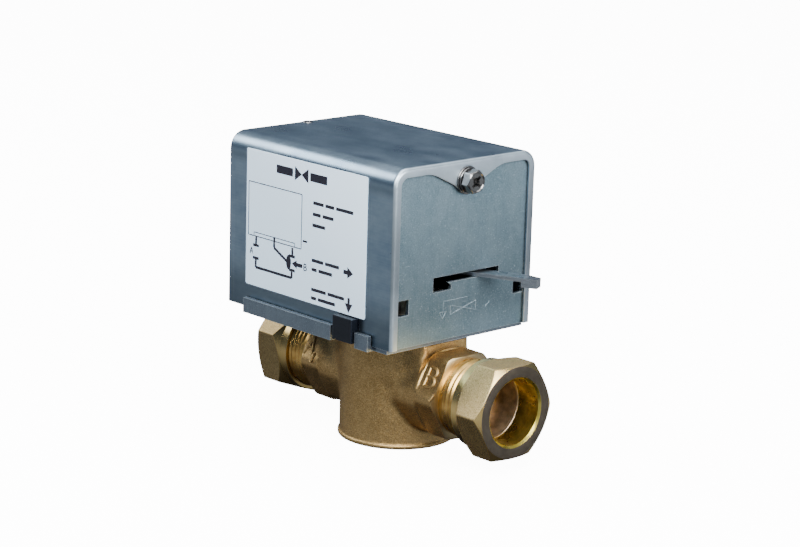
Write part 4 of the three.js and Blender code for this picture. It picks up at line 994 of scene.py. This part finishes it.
def build_cover_screw():
    seat, front = WASHER_HIGH[0] + 0.1, SCREW_HIGH[0]
    corner, flats = 4.1, 7.1
    sides = AROUND
    angle = around(sides)
    flat = hexagon_radius(angle - math.radians(12), flats, 0.02)
    rings = []
    for x in np.concatenate([np.linspace(seat, seat + 0.4, 4), np.linspace(seat + 0.7, front - 1.4, 5),
                             np.linspace(front - 1.2, front, 14)]):
        cone = 3.45 + (front - x) * 1.1
        foot = corner - 0.35 + (x - seat) * 1.5
        rings.append(pipe_ring(x, blend_min(flat, np.full(sides, min(cone, foot)), 0.1), angle, SCREW_Z))
    for x, r in ((front, 3.2), (front - 0.3, 2.95), (front - 0.35, 1.5)):
        rings.append(pipe_ring(x, r, angle, SCREW_Z))
    count = len(rings)
    faces = grid_faces(count, sides, False, True).tolist() + end_fans(count, sides, count * sides)
    points = np.vstack([*rings, (seat, 0, SCREW_Z), (front - 0.35, 0, SCREW_Z)])
    head = outward(mesh_from(points, faces))
    head.materials.append(BRIGHT)
    tools = []
    for tilt in (45, 135):
        slot = prism_mesh(rectangle(-2.3, -0.5, 2.3, 0.5), "x", front - 2.2, front + 1)
        slot.transform(Matrix.Translation((0, 0, SCREW_Z * MM)) @ Matrix.Rotation(math.radians(tilt), 4, "X"))
        tools.append(("DIFFERENCE", slot, BRIGHT))
    tip, axis_point = SCREW_LOW[0], (0, 0, SCREW_Z)
    dish = turned_mesh("x", [(0, front - 1.9), (1.0, front - 1.6), (1.7, front + 0.5), (0, front + 0.5)],
                       axis_point, AROUND_SMALL)
    shank = turned_mesh("x", [(0, tip), (1.7, tip), (2.0, tip + 0.4), (2.0, seat + 0.5), (0, seat + 0.5)],
                        axis_point, AROUND_SMALL)
    mesh = combined(head, tools + [("DIFFERENCE", dish, BRIGHT), ("UNION", shank, BRIGHT)])
    place("cover_screw_fine", mesh, "head", "bright_steel", [BRIGHT], "cover_screw", sharp=32)
    washers = []
    middle = WASHER_LOW[0] + 0.5
    for start, end, radius in ((WASHER_LOW[0], middle, 4.7), (middle + 0.05, WASHER_HIGH[0], 4.2)):
        ring = rounded([(2.2, start, 0.08), (radius, start, 0.18), (radius, end, 0.18), (2.2, end, 0.08)])
        washers.append(turned_mesh("x", ring, axis_point, 96))
    place("cover_screw_washers", merged(washers), "head", "bright_steel", [BRIGHT], "cover_screw_washer")


build_cover_screw()


# --- label and its print

LABEL_FACE = LABEL_LOW[1]


def build_label():
    lo, hi = LABEL_LOW, LABEL_HIGH
    outline = rounded(rectangle(lo[0], lo[2], hi[0], hi[2], 0.7))
    mesh = prism_mesh(outline, "y", lo[1], hi[1], 0.03)
    place("label_sheet", mesh, "head", "label_film", [FILM], "cover_label")


def printed_lines(paths, width):
    points = [[(x, LABEL_FACE, z) for x, z in path] for path in paths]
    return stroke_mesh(points, width / 2, (1, LABEL_FACE, 0.12))


def printed_shape(outline):
    return prism_mesh(outline, "y", LABEL_FACE - 0.03, LABEL_FACE + 0.02)


def greeked(left, z, widths, height):
    """Bars that stand for words, without lettering."""
    shapes, x = [], left
    for width in widths:
        shapes.append(printed_shape(rounded(rectangle(x, z, x + width, z + height, 0.2))))
        x += width + 0.9
    return shapes


def build_label_print():
    frame_box, terminal = rectangle(-42.0, 84.7, -14.4, 66.2), rectangle(-39.0, 67.5, -17.7, 66.2)
    circuit = [
        [(-37.85, 66.2), (-37.85, 63.2)], [(-39.4, 63.05), (-36.3, 63.05)],
        [(-39.4, 58.6), (-36.3, 58.6)], [(-37.85, 58.6), (-37.9, 55.4), (-19.0, 55.4), (-19.0, 58.0)],
        [(-20.4, 58.05), (-17.4, 58.05)], [(-28.3, 67.4), (-28.3, 64.0), (-21.6, 60.6)],
        [(-18.85, 65.8), (-18.85, 62.8)], [(-20.6, 62.8), (-17.5, 62.8)]]
    letter_a = [[(-41.0, 59.8), (-40.25, 62.0), (-39.5, 59.8)], [(-40.7, 60.55), (-39.8, 60.55)]]
    upper = arc((-12.2, 60.95), 0.5, 90, -90, 6)
    lower = arc((-12.1, 59.85), 0.58, 90, -90, 6)
    letter_b = [[(-12.8, 59.25), (-12.8, 61.45), *upper, (-12.8, 60.44), *lower, (-12.8, 59.25)]]
    contact = arc((-20.7, 60.5), 2.5, 0, 360, 28, 0.5)[:-1]
    arrows = [
        [(-19.0, 60.45), (-16.5, 61.9), (-16.5, 61.1), (-13.6, 61.1), (-13.6, 59.8), (-16.5, 59.8),
         (-16.5, 59.0)],
        [(7.0, 62.1), (8.9, 62.1), (8.9, 60.9), (11.7, 62.8), (8.9, 64.7), (8.9, 63.5), (7.0, 63.5)],
        [(9.3, 54.5), (9.3, 52.5), (8.0, 52.5), (9.85, 49.4), (11.7, 52.5), (10.4, 52.5), (10.4, 54.5)]]
    sign = [[(-18.2, 88.9), (-14.8, 91.3), (-18.2, 93.7)], [(-11.4, 88.9), (-11.4, 93.7), (-14.8, 91.3)]]
    pieces = [printed_lines(paths, width) for paths, width in (
        ([frame_box + frame_box[:1]], 0.36), ([terminal + terminal[:1]], 0.3), (circuit, 1.0),
        (letter_a + letter_b, 0.42))]
    pieces += [printed_shape(shape) for shape in [contact] + arrows + sign]
    for words in ((-27.6, 89.9, [8.4], 2.8), (-10.4, 89.9, [8.4], 2.8), (-8.7, 82.4, [5.2, 4.4, 8.4], 1.1),
                  (-8.8, 78.6, [4.0, 5.4], 1.1), (-8.9, 74.9, [6.4], 1.1), (-13.6, 68.8, [2.2], 0.7),
                  (-8.9, 63.0, [5.8, 7.0], 1.1), (-8.9, 59.9, [2.6, 6.8], 1.1), (-8.9, 53.1, [7.4, 8.2], 1.1),
                  (-8.9, 50.2, [2.6, 8.6], 1.1)):
        pieces += greeked(*words)
    place("label_print", merged(pieces), "head", "label_film", [INK])


build_label()
build_label_print()


# --- marks stamped in the end plate

def build_plate_marks():
    """A bent arrow to the lever's open end and the two-triangle sign of a valve, in thin raised burrs."""
    x = BASE_HIGH[0]
    bent = [[(3.0, 53.6), (-7.9, 53.6), (-7.9, 50.2)], [(-9.5, 50.0), (-6.5, 50.0), (-8.1, 47.7), (-9.5, 50.0)]]
    sign = [[(-4.6, 48.6), (-4.6, 51.8), (1.2, 50.2), (7.0, 48.6), (7.0, 51.8), (1.2, 50.2), (-4.6, 48.6)]]
    tick = [[(11.4, 48.9), (13.4, 50.4)]]
    paths = [[(x, y, z) for y, z in path] for path in bent + sign + tick]
    mesh = stroke_mesh(paths, 0.15, (0, x, 0.3))
    place("plate_marks", mesh, "head", "galvanised_steel", [BURR])


build_plate_marks()


# --- small turned pieces

def build_turned_pieces():
    """Fine versions of the round pieces."""
    def turn(name, node, body, slot, material, axis, centre, profile, sides=96):
        place(name, turned_mesh(axis, profile, centre, sides), body, slot, [material], node)

    def ring_profile(mean, wire, level):
        return [(mean + wire * math.cos(a), level + wire * math.sin(a)) for a in np.arange(20) * math.pi / 10]

    for node in ("bonnet_o_ring", "spindle_o_ring_lower", "spindle_o_ring_upper"):
        lo, hi = span(node)
        wire = (hi[2] - lo[2]) / 2
        turn(f"{node}_fine", node, "valve", "black_rubber", RUBBER, "z", (0, 0, 0),
             ring_profile(hi[0] - wire, wire, (lo[2] + hi[2]) / 2))
    seat, stud_r, pillar_r, tapped = 41.8, 1.5, 3.0, 8.0
    for i in range(1, 5):
        lo, hi = span(f"deck_pillar_{i}")
        profile = [(0, lo[2]), (stud_r, lo[2]), (stud_r, seat, 0.1), (pillar_r, seat, 0.3),
                   (pillar_r, hi[2], 0.3), (stud_r, hi[2], 0.1), (stud_r, hi[2] - tapped), (0, hi[2] - tapped)]
        turn(f"pillar_{i}", f"deck_pillar_{i}", "head", "bright_steel", GREY, "z", (*plan_centre(lo, hi), 0),
             rounded(profile, closed=False), AROUND_SMALL)
    lo, hi = span("motor_can")
    low, top, flange_r, can_r = lo[2], hi[2], 25.0, 24.4
    profile = [(0, low), (flange_r, low, 0.3), (flange_r, low + 1.2, 0.4), (can_r, low + 1.6, 0.3),
               (can_r, top, 2.0), (8, top, 0.4), (7.4, top - 0.8, 0.3), (0, top - 0.8)]
    turn("motor_housing", "motor_can", "head", "motor_steel", MOTOR, "z", ((lo[0] + hi[0]) / 2, 0, 0),
         rounded(profile, closed=False), AROUND)
    lo, hi = span("cable_grommet")
    groove_x0, groove_x1, groove_r, lip_r = -52.2, -50.8, 6.0, 8.2
    turn("grommet", "cable_grommet", "head", "black_rubber", RUBBER, "x",
         (0, (lo[1] + hi[1]) / 2, (lo[2] + hi[2]) / 2), rounded([
             (3.6, lo[0], 0.8), (7.4, lo[0], 0.9), (lip_r, groove_x0, 0.3), (groove_r, groove_x0),
             (groove_r, groove_x1), (lip_r, groove_x1, 0.3), (7.4, hi[0], 0.8), (3.6, hi[0], 0.8)]))
    lo, hi = span("drive_bush")
    bore_r, neck_r, collar_r, collar_z = 6.08, 8.4, 10.0, 41.85
    turn("hub_bush", "drive_bush", "head", "natural_plastic", NATURAL, "z", (0, 0, 0), rounded([
        (bore_r, lo[2], 0.2), (neck_r, lo[2], 0.3), (neck_r, collar_z), (collar_r, collar_z, 0.2),
        (collar_r, hi[2], 0.4), (bore_r, hi[2], 0.3)]))


build_turned_pieces()


def screw_mesh(centre, seat, length, head_radius, shank_radius, countersunk=False):
    """A cross-recessed screw that points down; its head sits at seat."""
    x, y = centre
    shank = [(0, seat - length), (shank_radius, seat - length, 0.3)]
    if countersunk:
        top = seat
        head = [(shank_radius, seat - 1.2, 0.1), (head_radius, top - 0.12, 0.1), (head_radius - 0.1, top)]
    else:
        top = seat + 2.0
        head = [(shank_radius, seat, 0.1), (head_radius, seat, 0.2), (head_radius, seat + 1.2, 0.9),
                (head_radius * 0.5, top, 1.0)]
    blank = turned_mesh("z", rounded(shank + head + [(0, top)], closed=False), (x, y, 0), AROUND_SMALL)
    blank.materials.append(BRIGHT)
    tools = []
    for reach_x, reach_y in ((head_radius + 0.5, 0.35), (0.35, head_radius * 0.62)):
        slot = block_mesh((x - reach_x, y - reach_y, top - 1.0), (x + reach_x, y + reach_y, top + 1))
        tools.append(("DIFFERENCE", slot, BRIGHT))
    return combined(blank, tools)


def build_screws():
    for kind, count, body, *sizes in (
            ("bonnet_screw", 4, "valve", 40.35, 10.3, 3.1, 1.6, True),
            ("deck_screw", 4, "head", 65.6, 7.0, 3.0, 1.35, False),
            ("motor_screw", 2, "head", 67.0, 5.0, 2.6, 1.35, False),
            ("switch_screw", 2, "head", 52.0, 10.5, 2.2, 1.15, False)):
        for i in range(1, count + 1):
            node = f"{kind}_{i}"
            centre = plan_centre(*span(node))
            place(f"{node}_fine", screw_mesh(centre, *sizes), body, "bright_steel", [BRIGHT], node, sharp=32)


build_screws()


# --- pieces that keep their CAD shape

def dress(node, material, edge=0.15, segments=2):
    """Gives a CAD node its material, merges split corners and rounds edges, without touching its mesh."""
    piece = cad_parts[node]
    piece.data.materials.clear()
    piece.data.materials.append(material)
    if "custom_normal" in piece.data.attributes:
        piece.data.attributes.remove(piece.data.attributes["custom_normal"])
    stack = piece.modifiers
    settle(stack.new("weld", "WELD"), merge_threshold=1e-6)
    settle(stack.new("flat", "DECIMATE"), decimate_type="DISSOLVE", angle_limit=math.radians(1.0))
    if edge > 0:
        settle(stack.new("edge", "BEVEL"), width=edge * MM, segments=segments, limit_method="ANGLE",
               angle_limit=math.radians(38), miter_outer="MITER_ARC")
    piece.data.shade_smooth()
    piece.data.set_sharp_from_angle(angle=math.radians(30))
    settle(stack.new("even", "WEIGHTED_NORMAL"), mode="FACE_AREA", weight=100, keep_sharp=True)


DRESSED = {
    "mounting_plate": (RAIL, 0.3, 3), "base_frame": (GALVANISED, 0.12, 2), "bonnet_plate": (BRIGHT, 0.15, 2),
    "motor_deck": (GALVANISED, 0.12, 2), "latch_bracket": (GALVANISED, 0.12, 2),
    "manual_lever": (GREY, 0.42, 4), "sector_gear": (GREY, 0.08, 2), "release_button": (BLACK, 0.5, 4),
    "end_switch": (BLACK, 0.25, 3),
    "drive_hub": (NATURAL, 0.12, 2), "lever_spacer": (NATURAL, 0.12, 2), "switch_plunger": (NATURAL, 0.1, 2),
    "motor_gearbox": (MOTOR, 0.2, 2), "motor_pinion": (GOLD, 0.05, 1), "motor_shaft": (BRIGHT, 0.1, 2),
    "paddle_arm": (GOLD, 0.1, 2), "earth_screw": (GOLD, 0.1, 2), "valve_spindle": (BRIGHT, 0.1, 2),
    "valve_ball": (RUBBER, 0.0, 1), "lever_clip": (BRIGHT, 0.08, 2), "switch_lever": (BRIGHT, 0.06, 2),
    "return_spring": (BRIGHT, 0.0, 1), "button_spring": (BRIGHT, 0.0, 1)}

for dressed_node, (finish, edge_width, edge_steps) in DRESSED.items():
    dress(dressed_node, finish, edge_width, edge_steps)


# --- floor, light and camera

# Tone of the surroundings from straight down to straight up.
SKY = [(0.0, (0.03, 0.03, 0.035)), (0.18, (0.05, 0.05, 0.055)), (0.29, (0.30, 0.32, 0.34)),
       (0.38, (0.46, 0.49, 0.52)), (0.46, (0.36, 0.39, 0.43)), (0.53, (0.09, 0.12, 0.16)),
       (0.65, (0.07, 0.10, 0.15)), (0.73, (0.24, 0.28, 0.33)), (0.86, (0.42, 0.45, 0.48)),
       (1.0, (0.55, 0.57, 0.6))]
DIM_CORNER = (-112, -30)          # azimuth and elevation
DIM_START, DIM_FULL = 0.75, 0.95  # cosine of the angle to it where dimming starts and where it is full
DIM_LEVEL = 0.25
FLOOR_HALF = 6000
FLOOR_GLOW = 12.0


def build_floor():
    corners = rectangle(-FLOOR_HALF, -FLOOR_HALF, FLOOR_HALF, FLOOR_HALF, 0)
    mesh = mesh_from(corners, [(0, 1, 2, 3)])
    floor = new_object("floor", mesh)
    s = Shader("floor_paint", (0.9, 0.9, 0.9), 0.0, 0.7, Specular_IOR_Level=0.2, Emission_Color=(1, 1, 1, 1),
               Emission_Strength=FLOOR_GLOW)
    s.color(s.mix(s.noise(60.0, 3), (0.895, 0.895, 0.9), (0.91, 0.91, 0.91)))
    mesh.materials.append(s.done())
    settle(floor, visible_glossy=False, visible_diffuse=False)


def build_world():
    """Studio surroundings: a dim floor, a dark horizon and a grey ceiling, all dimmer towards one corner."""
    world = bpy.data.worlds.new("studio")
    bpy.context.scene.world = world
    world.use_nodes = True
    tree = world.node_tree

    def add(kind, links, operation=None, **values):
        made = tree.nodes.new("ShaderNode" + kind)
        if operation:
            made.operation = operation
        for socket, source in links.items():
            tree.links.new(source, made.inputs[socket])
        for socket, value in values.items():
            made.inputs[socket.replace("_", " ")].default_value = value
        return made

    direction = add("TexCoord", {}).outputs["Generated"]
    height = add("SeparateXYZ", {0: direction}).outputs["Z"]
    shift = add("MapRange", {"Value": height}, From_Min=-1.0)
    ramp = add("ValToRGB", {"Fac": shift.outputs["Result"]})
    corner = add("VectorMath", {0: direction}, "DOT_PRODUCT")
    corner.inputs[1].default_value = aimed(*DIM_CORNER, 1.0)
    dim = add("MapRange", {"Value": corner.outputs["Value"]}, From_Min=DIM_START, From_Max=DIM_FULL,
              To_Min=1.0, To_Max=DIM_LEVEL)
    shade = add("VectorMath", {0: ramp.outputs["Color"], "Scale": dim.outputs["Result"]}, "SCALE")
    background = tree.nodes["Background"]
    tree.links.new(shade.outputs["Vector"], background.inputs["Color"])
    while len(ramp.color_ramp.elements) < len(SKY):
        ramp.color_ramp.elements.new(0.5)
    for element, (position, tone) in zip(ramp.color_ramp.elements, SKY):
        element.position = position
        element.color = (*tone, 1)
    background.inputs["Strength"].default_value = 1.0


def aimed(azimuth, elevation, distance):
    """Direction from the valve, by azimuth and elevation as for the camera."""
    a, e = math.radians(azimuth), math.radians(elevation)
    return Vector((math.sin(a) * math.cos(e), -math.cos(a) * math.cos(e), math.sin(e))) * distance


LIGHT_TARGET = Vector((0, 0, 0.05))   # metres


def softbox(name, azimuth, elevation, distance, width, height, power, tint=(1, 1, 1)):
    """An area light that faces the valve; azimuth and elevation as for the camera."""
    light = bpy.data.lights.new(name, "AREA")
    settle(light, shape="RECTANGLE", size=width, size_y=height, energy=power, color=tint)
    back = aimed(azimuth, elevation, 1.0)
    settle(new_object(name, light), location=LIGHT_TARGET + back * distance, rotation_mode="QUATERNION",
           rotation_quaternion=(-back).to_track_quat("-Z", "Y"))


def build_lights():
    softbox("key", 48, 42, 1.2, 0.9, 0.7, 26)
    softbox("side", -62, 36, 1.2, 0.7, 0.5, 6.5, (0.93, 0.97, 1.0))
    softbox("bore", 100, 16, 1.0, 0.5, 0.4, 8)
    softbox("overhead", 200, 80, 1.3, 1.2, 1.2, 14)


CAMERA_AZIMUTH, CAMERA_ELEVATION, CAMERA_ROLL = 46.86, 13.88, 1.69
CAMERA_DISTANCE = 800.9
CAMERA_TARGET = Vector((0, 0, 60))
CAMERA_OFFSET = (-0.44, -3.86)    # of the view's axis from the target, to the right and up
CAMERA_LENS = 106.88
SENSOR_WIDTH = 36.0


def build_camera():
    a, roll = math.radians(CAMERA_AZIMUTH), math.radians(CAMERA_ROLL)
    back = aimed(CAMERA_AZIMUTH, CAMERA_ELEVATION, 1.0)
    level = Vector((math.cos(a), math.sin(a), 0))
    upright = back.cross(level)
    right = level * math.cos(roll) + upright * math.sin(roll)
    up = upright * math.cos(roll) - level * math.sin(roll)
    data = bpy.data.cameras.new("camera")
    settle(data, lens=CAMERA_LENS, sensor_width=SENSOR_WIDTH, clip_start=0.05, clip_end=50)
    camera = new_object("camera", data)
    offset = right * CAMERA_OFFSET[0] + up * CAMERA_OFFSET[1]
    settle(camera, rotation_mode="QUATERNION",
           rotation_quaternion=Matrix((right, up, back)).transposed().to_quaternion(),
           location=(CAMERA_TARGET + back * CAMERA_DISTANCE + offset) * MM)
    bpy.context.scene.camera = camera


build_floor()
build_world()
build_lights()
build_camera()
